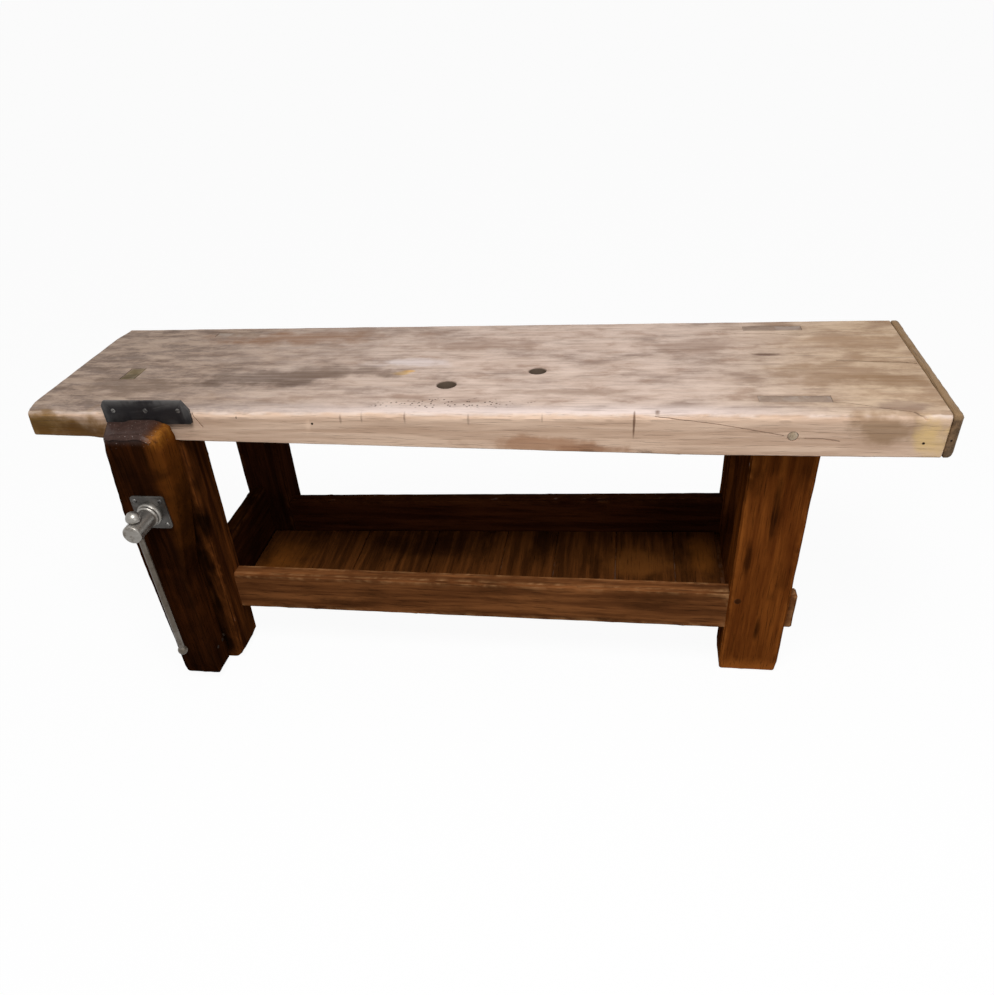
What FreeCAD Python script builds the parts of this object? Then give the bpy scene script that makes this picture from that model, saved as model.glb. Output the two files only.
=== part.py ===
import FreeCAD, Part
import os

# An old joiner's bench: a thick top on a pegged frame, with a shelf and one leg vise.
# X runs along the bench to the right, Y from front to back and Z up. The origin is on the
# floor, under the middle of the bench's whole outline. All sizes are in millimetres.

V = FreeCAD.Vector

# Bench top
TOP_LENGTH = 2018.0
TOP_DEPTH = 518.0
TOP_LEFT_THICKNESS = 66.0
TOP_RIGHT_THICKNESS = 94.0
TOP_LEVEL_LENGTH = 500.0
TOP_HEIGHT = 745.0
TOP_ROUND = 8.0
CORNER_CUT_LENGTH = 12.0
CORNER_CUT_DEPTH = 60.0
WANE_LENGTH = 180.0
WANE_DROP = 22.0
WANE_DEPTH = 8.0
CAP_THICKNESS = 22.0
CAP_FRONT_ROUND = 8.0
CAP_BACK_ROUND = 20.0

# Holdfast holes: place from the middle of the top, place behind its front edge, diameter
HOLDFAST_HOLES = ((-34.0, 147.0, 43.0), (165.0, 222.0, 38.0))

# Planing stop
STOP_LENGTH = 40.0
STOP_DEPTH = 66.0
STOP_HEIGHT = 150.0
STOP_FROM_LEFT = 151.0
STOP_FROM_FRONT = 180.0
STOP_CLEARANCE = 0.4

# Legs
VISE_LEG_WIDTH = 155.0
VISE_LEG_DEPTH = 110.0
VISE_LEG_TAPER = 11.0
FRONT_LEG_WIDTH = 143.0
FRONT_LEG_DEPTH = 98.0
FRONT_LEG_SETBACK = 58.0
BACK_LEG_DEPTH = 97.0
BACK_LEG_SETBACK = 12.0
BACK_LEFT_WIDTH = 123.0
BACK_LEFT_INSET = 65.0
BACK_RIGHT_WIDTH = 135.0
LEFT_OVERHANG = 221.0
RIGHT_OVERHANG = 233.0
FOOT_BEVEL_HEIGHT = 34.0
FOOT_BEVEL_DEPTH = 3.0
TOP_TENON_THICKNESS = 31.0
BACK_TENON_SETBACK = 17.0
BLIND_TENON_STOP = 14.0

# Rails
FRONT_RAIL_BOTTOM = 134.0
FRONT_RAIL_HEIGHT = 114.0
FRONT_RAIL_THICKNESS = 45.0
FRONT_RAIL_SETBACK = 5.0
BACK_RAIL_BOTTOM = 128.0
BACK_RAIL_HEIGHT = 152.0
BACK_RAIL_THICKNESS = 40.0
SIDE_RAIL_BOTTOM = 134.0
SIDE_RAIL_HEIGHT = 178.0
SIDE_RAIL_THICKNESS = 40.0
SIDE_RAIL_INSET = 15.0
RAIL_SHOULDER = 6.0
RAIL_TENON_LENGTH = 60.0
SIDE_TENON_LENGTH = 45.0
TENON_PROUD = 19.0
JOINT_CLEARANCE = 0.2

# Shelf, hung out of level with the back rail: the right end is the higher one
SHELF_HEIGHT = 180.0
SHELF_TILT = 1.65
BOARD_THICKNESS = 22.0
BOARD_GAP = 2.0
BOARD_END_GAP = 1.0
BOARD_SIDE_GAP = 2.0
BOARD_WIDTHS = (302.0, 213.0, 204.0, 145.0, 164.0, 155.0, 114.0)
LEDGER_THICKNESS = 25.0
LEDGER_HEIGHT = 25.0
LEDGER_NAILS = 5

# Round pegs and nails
PEG_DIAMETER = 20.0
PEG_PAST_TENON = 20.0
PEG_CLEARANCE = 0.1
TOP_PEG_DROP = 48.0
TOP_PEG_INSET = 65.0
RAIL_PEG_INSET = 22.0
SIDE_PEG_DIAMETER = 16.0
NAIL_DIAMETER = 5.0
NAIL_HEAD_DIAMETER = 10.0
NAIL_HEAD_HEIGHT = 2.0
LEDGER_NAIL_LENGTH = 50.0
CAP_NAIL_LENGTH = 70.0
CAP_NAILS = 5
GUIDE_NAIL_LENGTH = 62.0

# Jaw plate on the front edge of the top
PLATE_LENGTH = 209.0
PLATE_HEIGHT = 55.0
PLATE_THICKNESS = 8.0
PLATE_PROUD = 28.0
PLATE_LEFT_REACH = 95.0
PLATE_CORNER_LENGTH = 14.0
PLATE_CORNER_HEIGHT = 22.0
PLATE_SCREW_INSET = 26.0
PLATE_SCREW_DROP = 23.0

# Vise
SCREW_FROM_LEFT = 306.0
SCREW_DROP = 205.0
JAW_GAP = 1.0
CHOP_THICKNESS = 85.0
CHOP_TOP_DROP = 12.0
CHOP_FOOT = 17.0
CHOP_TOP_FLAT = 75.0
CHOP_TOP_BEVEL = 8.0
CHOP_FOOT_FLAT = 45.0
CHOP_FOOT_BEVEL = 44.0
CHOP_LEFT_TOP = 62.0
CHOP_LEFT_WIDEST = 80.0
CHOP_LEFT_FOOT = 71.0
CHOP_EAR = 36.0
CHOP_RIGHT_TOP = 71.0
CHOP_RIGHT_SHOULDER = 65.0
CHOP_RIGHT_FOOT = 24.0
CHOP_TAPER_RISE = 20.0
CHOP_TAPER_DROP = 200.0
FLANGE_SIDE = 84.0
FLANGE_THICKNESS = 6.0
FLANGE_SCREW_INSET = 11.0
COLLAR_DIAMETER = 58.0
COLLAR_LENGTH = 16.0
HEAD_DIAMETER = 44.0
HEAD_LENGTH = 80.0
SCREW_CHAMFER = 3.0
SHANK_DIAMETER = 36.0
SHANK_CLEARANCE = 0.08
SHANK_HOLE_CLEARANCE = 1.0
SHANK_END_FROM_FRONT = 195.0
THRUST_DIAMETER = 60.0
THRUST_LENGTH = 10.0
THRUST_CLEARANCE = 0.5
NUT_PLATE_SIDE = 84.0
NUT_PLATE_THICKNESS = 8.0
NUT_BOSS_DIAMETER = 56.0
NUT_BOSS_LENGTH = 48.0
NUT_BOSS_CLEARANCE = 0.3
GUIDE_WIDTH = 30.0
GUIDE_HEIGHT = 60.0
GUIDE_BOTTOM = 60.0
GUIDE_IN_CHOP = 60.0
GUIDE_END_FROM_FRONT = 230.0
GUIDE_CLEARANCE = 1.0
PIN_DIAMETER = 7.8
PIN_LENGTH = 90.0
PIN_HOLE_PITCH = 26.0
PIN_HOLES = 4
PIN_CLEARANCE = 0.1

# Tommy bar
BAR_DIAMETER = 14.0
BAR_CLEARANCE = 0.3
BAR_FROM_HEAD_END = 28.0
BAR_LENGTH = 390.0
KNOB_DIAMETER = 35.0
KNOB_HEIGHT = 22.0
BALL_DIAMETER = 24.0
SEAT_GAP = 0.3

# Wood screws
SCREW_SHANK_DIAMETER = 5.0
SCREW_LENGTH = 32.0
SCREW_HEAD_DIAMETER = 11.0
SCREW_HEAD_HEIGHT = 3.5

# Places worked out from the sizes
vise_reach = (PLATE_THICKNESS + JAW_GAP + CHOP_THICKNESS + FLANGE_THICKNESS
              + COLLAR_LENGTH + HEAD_LENGTH)
front = (vise_reach - TOP_DEPTH) / 2
back = front + TOP_DEPTH
left = -TOP_LENGTH / 2
right = TOP_LENGTH / 2
slab_right = right - CAP_THICKNESS
deepest_under = TOP_HEIGHT - max(TOP_LEFT_THICKNESS, TOP_RIGHT_THICKNESS)

vise_leg_left = left + LEFT_OVERHANG
vise_leg_right = vise_leg_left + VISE_LEG_WIDTH
vise_leg_back = front + VISE_LEG_DEPTH
right_leg_right = right - RIGHT_OVERHANG
front_leg_left = right_leg_right - FRONT_LEG_WIDTH
front_leg_front = front + FRONT_LEG_SETBACK
front_leg_back = front_leg_front + FRONT_LEG_DEPTH
back_leg_back = back - BACK_LEG_SETBACK
back_leg_front = back_leg_back - BACK_LEG_DEPTH
back_left_left = vise_leg_left + BACK_LEFT_INSET
back_left_right = back_left_left + BACK_LEFT_WIDTH
back_right_left = right_leg_right - BACK_RIGHT_WIDTH

front_rail_front = front_leg_front + FRONT_RAIL_SETBACK
front_rail_back = front_rail_front + FRONT_RAIL_THICKNESS
front_rail_top = FRONT_RAIL_BOTTOM + FRONT_RAIL_HEIGHT
back_rail_front = back_leg_front + FRONT_RAIL_SETBACK
back_rail_back = back_rail_front + BACK_RAIL_THICKNESS
side_tenon_bottom = front_rail_top + RAIL_SHOULDER
side_tenon_top = SIDE_RAIL_BOTTOM + SIDE_RAIL_HEIGHT - RAIL_SHOULDER
side_peg_z = (side_tenon_bottom + side_tenon_top) / 2

screw_x = left + SCREW_FROM_LEFT
screw_z = TOP_HEIGHT - SCREW_DROP
chop_top = TOP_HEIGHT - CHOP_TOP_DROP
chop_back = front - PLATE_THICKNESS - JAW_GAP
chop_front = chop_back - CHOP_THICKNESS
flange_front = chop_front - FLANGE_THICKNESS
head_end = flange_front - COLLAR_LENGTH - HEAD_LENGTH
bar_y = head_end + BAR_FROM_HEAD_END
guide_x = screw_x + (CHOP_RIGHT_FOOT - CHOP_LEFT_FOOT) / 2
guide_middle = GUIDE_BOTTOM + GUIDE_HEIGHT / 2
pin_y = front - (PLATE_THICKNESS + JAW_GAP) / 2
plate_left = screw_x - PLATE_LEFT_REACH
plate_top = TOP_HEIGHT + PLATE_PROUD

ALONG_X = V(1, 0, 0)
ALONG_Y = V(0, 1, 0)
ALONG_Z = V(0, 0, 1)


def box(x0, x1, y0, y1, z0, z1):
    return Part.makeBox(x1 - x0, y1 - y0, z1 - z0, V(x0, y0, z0))


def rod(x, y, z, direction, diameter, length):
    return Part.makeCylinder(diameter / 2, length, V(x, y, z), direction)


def slab_through_y(outline, y0, y1):
    """A flat outline of (x, z) points, carried from y0 to y1."""
    wire = Part.makePolygon([V(x, y0, z) for x, z in outline] + [V(outline[0][0], y0, outline[0][1])])
    return Part.Face(wire).extrude(V(0, y1 - y0, 0))


def slab_through_x(outline, x0, x1):
    """A flat outline of (y, z) points, carried from x0 to x1."""
    wire = Part.makePolygon([V(x0, y, z) for y, z in outline] + [V(x0, outline[0][0], outline[0][1])])
    return Part.Face(wire).extrude(V(x1 - x0, 0, 0))


def grown(x0, x1, y0, y1, z0, z1, gap):
    return box(x0 - gap, x1 + gap, y0 - gap, y1 + gap, z0 - gap, z1 + gap)


def tilted(shape):
    """Turn a piece of the shelf about the middle of the bench, so that its right end rises."""
    turned = shape.copy()
    turned.rotate(V(0, 0, SHELF_HEIGHT), ALONG_Y, -SHELF_TILT)
    return turned


def revolved(profile, x, y, z, direction):
    """Turn (radius, distance) points about a line through x, y, z, and lay it along direction."""
    points = [V(r, 0, d) for r, d in profile]
    face = Part.Face(Part.makePolygon(points + [points[0]]))
    solid = face.revolve(V(0, 0, 0), ALONG_Z, 360)
    solid.Placement = FreeCAD.Placement(V(x, y, z), FreeCAD.Rotation(ALONG_Z, direction))
    return solid


def nail(x, y, z, direction, length, gap=0.0):
    """A nail whose flat head is flush with the surface at x, y, z. A gap makes its hole."""
    head = rod(x, y, z, direction, NAIL_HEAD_DIAMETER + 2 * gap, NAIL_HEAD_HEIGHT)
    return head.fuse(rod(x, y, z, direction, NAIL_DIAMETER + 2 * gap, length + gap))


def wood_screw(x, y, z, direction):
    """A screw with a domed head standing on the surface at x, y, z, and its shank below."""
    cap_radius = SCREW_HEAD_DIAMETER / 2
    ball_radius = (cap_radius ** 2 + SCREW_HEAD_HEIGHT ** 2) / (2 * SCREW_HEAD_HEIGHT)
    place = V(x, y, z)
    centre = place + direction * (ball_radius - SCREW_HEAD_HEIGHT)
    ball = Part.makeSphere(ball_radius, centre)
    head_room = Part.makeCylinder(2 * ball_radius, 2 * ball_radius, place, direction * -1)
    shank = rod(x, y, z, direction, SCREW_SHANK_DIAMETER, SCREW_LENGTH)
    return ball.common(head_room).fuse(shank)


def flush_screw(x, y, z, direction, gap=0.0):
    """A screw with a countersunk head, flush with the surface at x, y, z. A gap makes its hole."""
    head = Part.makeCone(SCREW_HEAD_DIAMETER / 2 + gap, SCREW_SHANK_DIAMETER / 2 + gap, SCREW_HEAD_HEIGHT,
                         V(x, y, z), direction)
    return head.fuse(rod(x, y, z, direction, SCREW_SHANK_DIAMETER + 2 * gap, SCREW_LENGTH + gap))


def screw_hole(x, y, z, direction):
    gap = 2 * PEG_CLEARANCE
    return rod(x, y, z, direction, SCREW_SHANK_DIAMETER + gap, SCREW_LENGTH + gap)


def fused(shapes):
    whole = shapes[0]
    if len(shapes) > 1:
        whole = whole.fuse(shapes[1:])
    return whole.removeSplitter()


def without(shape, cuts):
    return shape.cut(Part.makeCompound(cuts)) if cuts else shape


# Top blank and legs

def slab_blank(x0, x1):
    """The top between x0 and x1. It is level above, and below it rises towards its left end."""
    right_under = TOP_HEIGHT - TOP_RIGHT_THICKNESS
    outline = [(left, TOP_HEIGHT - TOP_LEFT_THICKNESS), (right - TOP_LEVEL_LENGTH, right_under),
               (right, right_under), (right, TOP_HEIGHT), (left, TOP_HEIGHT)]
    return slab_through_y(outline, front, back).common(box(x0, x1, front, back, 0, TOP_HEIGHT))


def leg_post(x0, x1, y0, y1, taper=0.0):
    """A leg up to the top. Its foot is bevelled all round, and a taper narrows its right side."""
    bevel = FOOT_BEVEL_DEPTH
    lift = FOOT_BEVEL_HEIGHT
    foot = x1 - taper
    knee = foot + taper * lift / TOP_HEIGHT
    across = [(x0, TOP_HEIGHT), (x1, TOP_HEIGHT), (knee, lift),
              (foot - bevel, 0), (x0 + bevel, 0), (x0, lift)]
    along = [(y0, TOP_HEIGHT), (y1, TOP_HEIGHT), (y1, lift),
             (y1 - bevel, 0), (y0 + bevel, 0), (y0, lift)]
    post = slab_through_y(across, y0, y1).common(slab_through_x(along, x0, x1))
    return post.cut(slab_blank(left, right))


LEG_POSTS = {
    "vise_leg": (vise_leg_left, vise_leg_right, front, vise_leg_back),
    "front_right_leg": (front_leg_left, right_leg_right, front_leg_front, front_leg_back),
    "back_left_leg": (back_left_left, back_left_right, back_leg_front, back_leg_back),
    "back_right_leg": (back_right_left, right_leg_right, back_leg_front, back_leg_back),
}

back_tenon_back = back_leg_back - BACK_TENON_SETBACK
TOP_TENONS = {
    "vise_leg": (vise_leg_back - TOP_TENON_THICKNESS, vise_leg_back),
    "front_right_leg": (front_leg_front, front_leg_front + TOP_TENON_THICKNESS),
    "back_left_leg": (back_tenon_back - TOP_TENON_THICKNESS, back_tenon_back),
    "back_right_leg": (back_tenon_back - TOP_TENON_THICKNESS, back_tenon_back),
}


def leg_taper(name):
    return VISE_LEG_TAPER if name == "vise_leg" else 0.0


def top_tenon(name, gap=0.0):
    """The tenon of a leg in the top, or with a gap its mortise. Only the vise leg's is blind."""
    x0, x1 = LEG_POSTS[name][:2]
    y0, y1 = TOP_TENONS[name]
    stop = BLIND_TENON_STOP if name == "vise_leg" else 0.0
    return grown(x0, x1 - leg_taper(name), y0, y1, deepest_under, TOP_HEIGHT - stop, gap)


def leg_blank(name):
    return leg_post(*LEG_POSTS[name], leg_taper(name))


# Rails and their tenons

front_tenon_front = front_rail_front + RAIL_SHOULDER
front_tenon_left = vise_leg_right - VISE_LEG_TAPER - RAIL_TENON_LENGTH


def front_rail_tenons(gap=0.0):
    """One bar that runs through the rail: its left end is blind, its right end stands proud."""
    return grown(front_tenon_left, right_leg_right + TENON_PROUD, front_tenon_front, front_rail_back,
                 FRONT_RAIL_BOTTOM + RAIL_SHOULDER, front_rail_top - RAIL_SHOULDER, gap)


def front_rail():
    body = box(vise_leg_right - 2 * VISE_LEG_TAPER, front_leg_left, front_rail_front, front_rail_back,
               FRONT_RAIL_BOTTOM, front_rail_top)
    body = body.cut(leg_blank("vise_leg"))
    holes = peg_holes(RAIL_PEGS) + ledger_nails(PEG_CLEARANCE)
    return without(fused([body, front_rail_tenons()]), holes)


def back_rail_bar(x0, x1, shoulder, gap=0.0):
    """The tilted bar of the back rail, or of its tenons, cut off upright at x0 and x1."""
    reach = TOP_LENGTH / 2
    bar = grown(-reach, reach, back_rail_front + shoulder, back_rail_back - shoulder,
                BACK_RAIL_BOTTOM + shoulder, BACK_RAIL_BOTTOM + BACK_RAIL_HEIGHT - shoulder, gap)
    keep = box(x0 - gap, x1 + gap, front, back, 0, TOP_HEIGHT)
    return tilted(bar).common(keep)


def back_rail_tenons(gap=0.0):
    return back_rail_bar(back_left_right - RAIL_TENON_LENGTH, back_right_left + RAIL_TENON_LENGTH,
                         RAIL_SHOULDER, gap)


def back_rail():
    body = back_rail_bar(back_left_right, back_right_left, 0.0)
    holes = peg_holes(RAIL_PEGS) + ledger_nails(PEG_CLEARANCE)
    return without(fused([body, back_rail_tenons()]), holes)


# Side rails: the left face of each, and the back of the leg that its front shoulder meets
SIDE_RAILS = {
    "left_side_rail": (back_left_left + SIDE_RAIL_INSET, vise_leg_back),
    "right_side_rail": (right_leg_right - SIDE_RAIL_INSET - SIDE_RAIL_THICKNESS, front_leg_back),
}


def side_rail_tenons(name, gap=0.0):
    """The tenons of a side rail, kept above those of the front rail. A gap makes their mortises."""
    x0, shoulder = SIDE_RAILS[name]
    return grown(x0 + RAIL_SHOULDER, x0 + SIDE_RAIL_THICKNESS - RAIL_SHOULDER,
                 shoulder - SIDE_TENON_LENGTH, back_leg_front + SIDE_TENON_LENGTH,
                 side_tenon_bottom, side_tenon_top, gap)


def side_rail(name):
    x0, shoulder = SIDE_RAILS[name]
    body = box(x0, x0 + SIDE_RAIL_THICKNESS, shoulder, back_leg_front,
               SIDE_RAIL_BOTTOM, SIDE_RAIL_BOTTOM + SIDE_RAIL_HEIGHT)
    return without(fused([body, side_rail_tenons(name)]), peg_holes(SIDE_PEGS))


# Pegs: a start on the outer face, a direction, a diameter and a length

def top_peg(name, from_front):
    """A peg driven through the edge of the top and across a leg's tenon."""
    x = LEG_POSTS[name][0] + TOP_PEG_INSET
    y0, y1 = TOP_TENONS[name]
    z = TOP_HEIGHT - TOP_PEG_DROP
    if from_front:
        return (x, front, z), ALONG_Y, PEG_DIAMETER, y1 - front + PEG_PAST_TENON
    return (x, back, z), ALONG_Y * -1, PEG_DIAMETER, back - y0 + PEG_PAST_TENON


TOP_PEGS = [
    top_peg("vise_leg", True),
    top_peg("front_right_leg", True),
    top_peg("back_left_leg", False),
    top_peg("back_right_leg", False),
]

front_peg_z = front_rail_top - RAIL_PEG_INSET
back_peg_length = back_leg_back - back_rail_front + RAIL_SHOULDER
RAIL_PEGS = [
    ((front_leg_left + RAIL_PEG_INSET, front_leg_front, front_peg_z), ALONG_Y,
     PEG_DIAMETER, front_rail_back - front_leg_front + PEG_PAST_TENON),
    ((vise_leg_right - VISE_LEG_TAPER - RAIL_PEG_INSET, vise_leg_back, front_peg_z), ALONG_Y * -1,
     PEG_DIAMETER, vise_leg_back - front_tenon_front + PEG_PAST_TENON),
    ((back_left_right - RAIL_PEG_INSET, back_leg_back, SHELF_HEIGHT), ALONG_Y * -1,
     PEG_DIAMETER, back_peg_length),
    ((back_right_left + RAIL_PEG_INSET, back_leg_back, SHELF_HEIGHT), ALONG_Y * -1,
     PEG_DIAMETER, back_peg_length),
]


def side_peg(rail, leg):
    """A peg driven in from the outer face of a leg, across a side rail's tenon."""
    x0, shoulder = SIDE_RAILS[rail]
    half = SIDE_TENON_LENGTH / 2
    y = back_leg_front + half if leg.startswith("back") else shoulder - half
    inner_past = PEG_PAST_TENON - SIDE_PEG_DIAMETER / 2
    if rail.startswith("left"):
        outer = LEG_POSTS[leg][0]
        length = x0 + SIDE_RAIL_THICKNESS - outer + inner_past
        return (outer, y, side_peg_z), ALONG_X, SIDE_PEG_DIAMETER, length
    outer = LEG_POSTS[leg][1]
    return (outer, y, side_peg_z), ALONG_X * -1, SIDE_PEG_DIAMETER, outer - x0 + inner_past


SIDE_PEGS = [
    side_peg("left_side_rail", "vise_leg"),
    side_peg("left_side_rail", "back_left_leg"),
    side_peg("right_side_rail", "front_right_leg"),
    side_peg("right_side_rail", "back_right_leg"),
]


def peg_solids(pegs):
    return Part.makeCompound([rod(*start, along, width, length) for start, along, width, length in pegs])


def peg_holes(pegs):
    gap = PEG_CLEARANCE
    return [rod(*start, along, width + 2 * gap, length + gap) for start, along, width, length in pegs]


# Shelf

shelf_left = SIDE_RAILS["left_side_rail"][0] + SIDE_RAIL_THICKNESS + BOARD_SIDE_GAP
shelf_right = min(front_leg_left, back_right_left) - BOARD_SIDE_GAP
shelf_front = max(front_rail_back, vise_leg_back) + BOARD_END_GAP
shelf_back = back_leg_front - BOARD_END_GAP
ledger_left = back_left_right + BOARD_SIDE_GAP
ledger_top = SHELF_HEIGHT - BOARD_THICKNESS
LEDGERS = {
    "front_ledger": (front_rail_back, front_rail_back + LEDGER_THICKNESS),
    "back_ledger": (back_rail_front - LEDGER_THICKNESS, back_rail_front),
}


def ledger_nails(gap=0.0):
    """Nails that hold the two ledgers to their rails, or with a gap their holes."""
    pitch = (shelf_right - ledger_left) / LEDGER_NAILS
    z = ledger_top - LEDGER_HEIGHT / 2
    nails = []
    for i in range(LEDGER_NAILS):
        x = ledger_left + pitch * (i + 0.5)
        nails.append(nail(x, LEDGERS["front_ledger"][1], z, ALONG_Y * -1, LEDGER_NAIL_LENGTH, gap))
        nails.append(nail(x, LEDGERS["back_ledger"][0], z, ALONG_Y, LEDGER_NAIL_LENGTH, gap))
    return [tilted(one) for one in nails]


def ledger(name):
    y0, y1 = LEDGERS[name]
    bar = tilted(box(ledger_left, shelf_right, y0, y1, ledger_top - LEDGER_HEIGHT, ledger_top))
    return without(bar, ledger_nails(PEG_CLEARANCE))


def shelf_boards():
    """Boards of uneven width, from front to back, that fill the bay between the legs."""
    scale = (shelf_right - shelf_left) / sum(BOARD_WIDTHS)
    boards = []
    x = shelf_left
    for width in BOARD_WIDTHS:
        x1 = x + width * scale
        boards.append(tilted(box(x, x1 - BOARD_GAP, shelf_front, shelf_back, ledger_top, SHELF_HEIGHT)))
        x = x1
    return boards


# Bench top

def stop_block(gap=0.0, lift=0.0):
    x0 = left + STOP_FROM_LEFT
    y0 = front + STOP_FROM_FRONT
    return box(x0 - gap, x0 + STOP_LENGTH + gap, y0 - gap, y0 + STOP_DEPTH + gap,
               TOP_HEIGHT - STOP_HEIGHT, TOP_HEIGHT + lift)


def corner_cut(y, inward):
    """An upright left corner of the top, worn off at a slant."""
    outline = [V(left, y, 0), V(left + CORNER_CUT_LENGTH, y, 0), V(left, y + inward * CORNER_CUT_DEPTH, 0)]
    face = Part.Face(Part.makePolygon(outline + [outline[0]]))
    return face.extrude(V(0, 0, TOP_HEIGHT))


def wane():
    """Missing wood under the front left edge, where the slab came near the bark."""
    high = TOP_HEIGHT - WANE_DROP
    low = TOP_HEIGHT - TOP_LEFT_THICKNESS
    ramp = [(left, deepest_under), (left + WANE_LENGTH, deepest_under), (left + WANE_LENGTH, low),
            (left + WANE_LENGTH - WANE_DROP, high), (left, high)]
    wedge = slab_through_x([(front, high), (front + WANE_DEPTH, low), (front + WANE_DEPTH, deepest_under),
                            (front, deepest_under)], left, left + WANE_LENGTH)
    return wedge.common(slab_through_y(ramp, front, front + WANE_DEPTH))


def cap_nails(gap=0.0):
    pitch = TOP_DEPTH / CAP_NAILS
    z = TOP_HEIGHT - TOP_RIGHT_THICKNESS / 2
    return [nail(right, front + pitch * (i + 0.5), z, ALONG_X * -1, CAP_NAIL_LENGTH, gap)
            for i in range(CAP_NAILS)]


def long_edges(shape, y, z):
    """The edges of a solid that run along X at this y and z."""
    found = []
    for edge in shape.Edges:
        ends = [vertex.Point for vertex in edge.Vertexes]
        if all(abs(p.y - y) < 0.01 and abs(p.z - z) < 0.01 for p in ends):
            found.append(edge)
    return found


def bench_top():
    slab = slab_blank(left, slab_right)
    slab = slab.makeFillet(TOP_ROUND, long_edges(slab, front, TOP_HEIGHT))
    cuts = [top_tenon(name, JOINT_CLEARANCE) for name in LEG_POSTS]
    cuts += [rod(x, front + y, 0, ALONG_Z, width, TOP_HEIGHT) for x, y, width in HOLDFAST_HOLES]
    cuts += [stop_block(STOP_CLEARANCE, STOP_CLEARANCE), wane(), corner_cut(front, 1), corner_cut(back, -1)]
    cuts += peg_holes(TOP_PEGS) + cap_nails(PEG_CLEARANCE)
    cuts += [flush_screw(*place, ALONG_Y, PEG_CLEARANCE) for place in PLATE_SCREWS]
    return without(slab, cuts)


def end_cap():
    batten = slab_blank(slab_right, right)
    for y, radius in ((front, CAP_FRONT_ROUND), (back, CAP_BACK_ROUND)):
        corner = [edge for edge in batten.Edges
                  if all(abs(v.X - right) < 0.01 and abs(v.Y - y) < 0.01 for v in edge.Vertexes)]
        batten = batten.makeFillet(radius, corner)
    return without(batten, cap_nails(PEG_CLEARANCE))


# Jaw plate

plate_front = front - PLATE_THICKNESS
plate_screw_z = plate_top - PLATE_SCREW_DROP
plate_right = plate_left + PLATE_LENGTH
PLATE_SCREWS = [
    (plate_left + PLATE_SCREW_INSET, plate_front, plate_screw_z),
    (plate_left + PLATE_LENGTH / 2, plate_front, plate_screw_z),
    (plate_right - PLATE_SCREW_INSET, plate_front, plate_screw_z),
]


def jaw_plate():
    length = PLATE_CORNER_LENGTH
    height = PLATE_CORNER_HEIGHT
    bottom = plate_top - PLATE_HEIGHT
    outline = [(plate_left, bottom), (plate_right, bottom), (plate_right, plate_top - height),
               (plate_right - length, plate_top), (plate_left + length / 2, plate_top),
               (plate_left, plate_top - height / 2)]
    plate = slab_through_y(outline, plate_front, front)
    return without(plate, [flush_screw(*place, ALONG_Y, PEG_CLEARANCE) for place in PLATE_SCREWS])


# Vise

def square_places(x, y, z, half):
    return [(x + i * half, y, z + k * half) for i in (-1, 1) for k in (-1, 1)]


FLANGE_SCREWS = square_places(screw_x, flange_front, screw_z, FLANGE_SIDE / 2 - FLANGE_SCREW_INSET)
nut_back = vise_leg_back + NUT_PLATE_THICKNESS
NUT_SCREWS = square_places(screw_x, nut_back, screw_z, NUT_PLATE_SIDE / 2 - FLANGE_SCREW_INSET)


def shank_hole(y0, y1):
    width = SHANK_DIAMETER + 2 * SHANK_HOLE_CLEARANCE
    return rod(screw_x, y0, screw_z, ALONG_Y, width, y1 - y0)


def guide_bar(gap=0.0):
    """The bar that keeps the chop upright, from inside the chop to behind the vise leg."""
    return box(guide_x - GUIDE_WIDTH / 2 - gap, guide_x + GUIDE_WIDTH / 2 + gap,
               chop_back - GUIDE_IN_CHOP - gap, front + GUIDE_END_FROM_FRONT,
               GUIDE_BOTTOM - gap, GUIDE_BOTTOM + GUIDE_HEIGHT + gap)


def guide_nails(gap=0.0):
    y = chop_back - GUIDE_IN_CHOP / 2
    x = screw_x + CHOP_RIGHT_FOOT
    return [nail(x, y + i * GUIDE_IN_CHOP / 4, guide_middle, ALONG_X * -1, GUIDE_NAIL_LENGTH, gap)
            for i in (-1, 1)]


def parallel_guide():
    width = PIN_DIAMETER + 2 * PIN_CLEARANCE
    holes = []
    for i in range(PIN_HOLES):
        y = pin_y + i * PIN_HOLE_PITCH
        holes.append(rod(guide_x - GUIDE_WIDTH, y, guide_middle, ALONG_X, width, 2 * GUIDE_WIDTH))
    return without(guide_bar(), holes + guide_nails(PEG_CLEARANCE))


def guide_pin():
    return rod(guide_x - PIN_LENGTH / 2, pin_y, guide_middle, ALONG_X, PIN_DIAMETER, PIN_LENGTH)


def thrust_room(gap):
    width = THRUST_DIAMETER + 2 * gap
    return rod(screw_x, chop_front, screw_z, ALONG_Y, width, THRUST_LENGTH + 2 * gap)


def four_sided(points):
    """A solid with four corners and a flat face opposite each."""
    faces = []
    for skipped in range(4):
        corners = [point for i, point in enumerate(points) if i != skipped]
        faces.append(Part.Face(Part.makePolygon(corners + [corners[0]])))
    solid = Part.Solid(Part.Shell(faces))
    if solid.Volume < 0:
        solid.reverse()
    return solid


def chop_ear():
    """The chop's top left corner, which spreads out to the length of the jaw plate behind."""
    corner = screw_x - CHOP_LEFT_TOP
    return four_sided([V(corner, chop_front, chop_top), V(corner, chop_back, chop_top),
                       V(corner - CHOP_EAR, chop_back, chop_top),
                       V(screw_x - CHOP_LEFT_WIDEST, chop_back, screw_z)])


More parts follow.
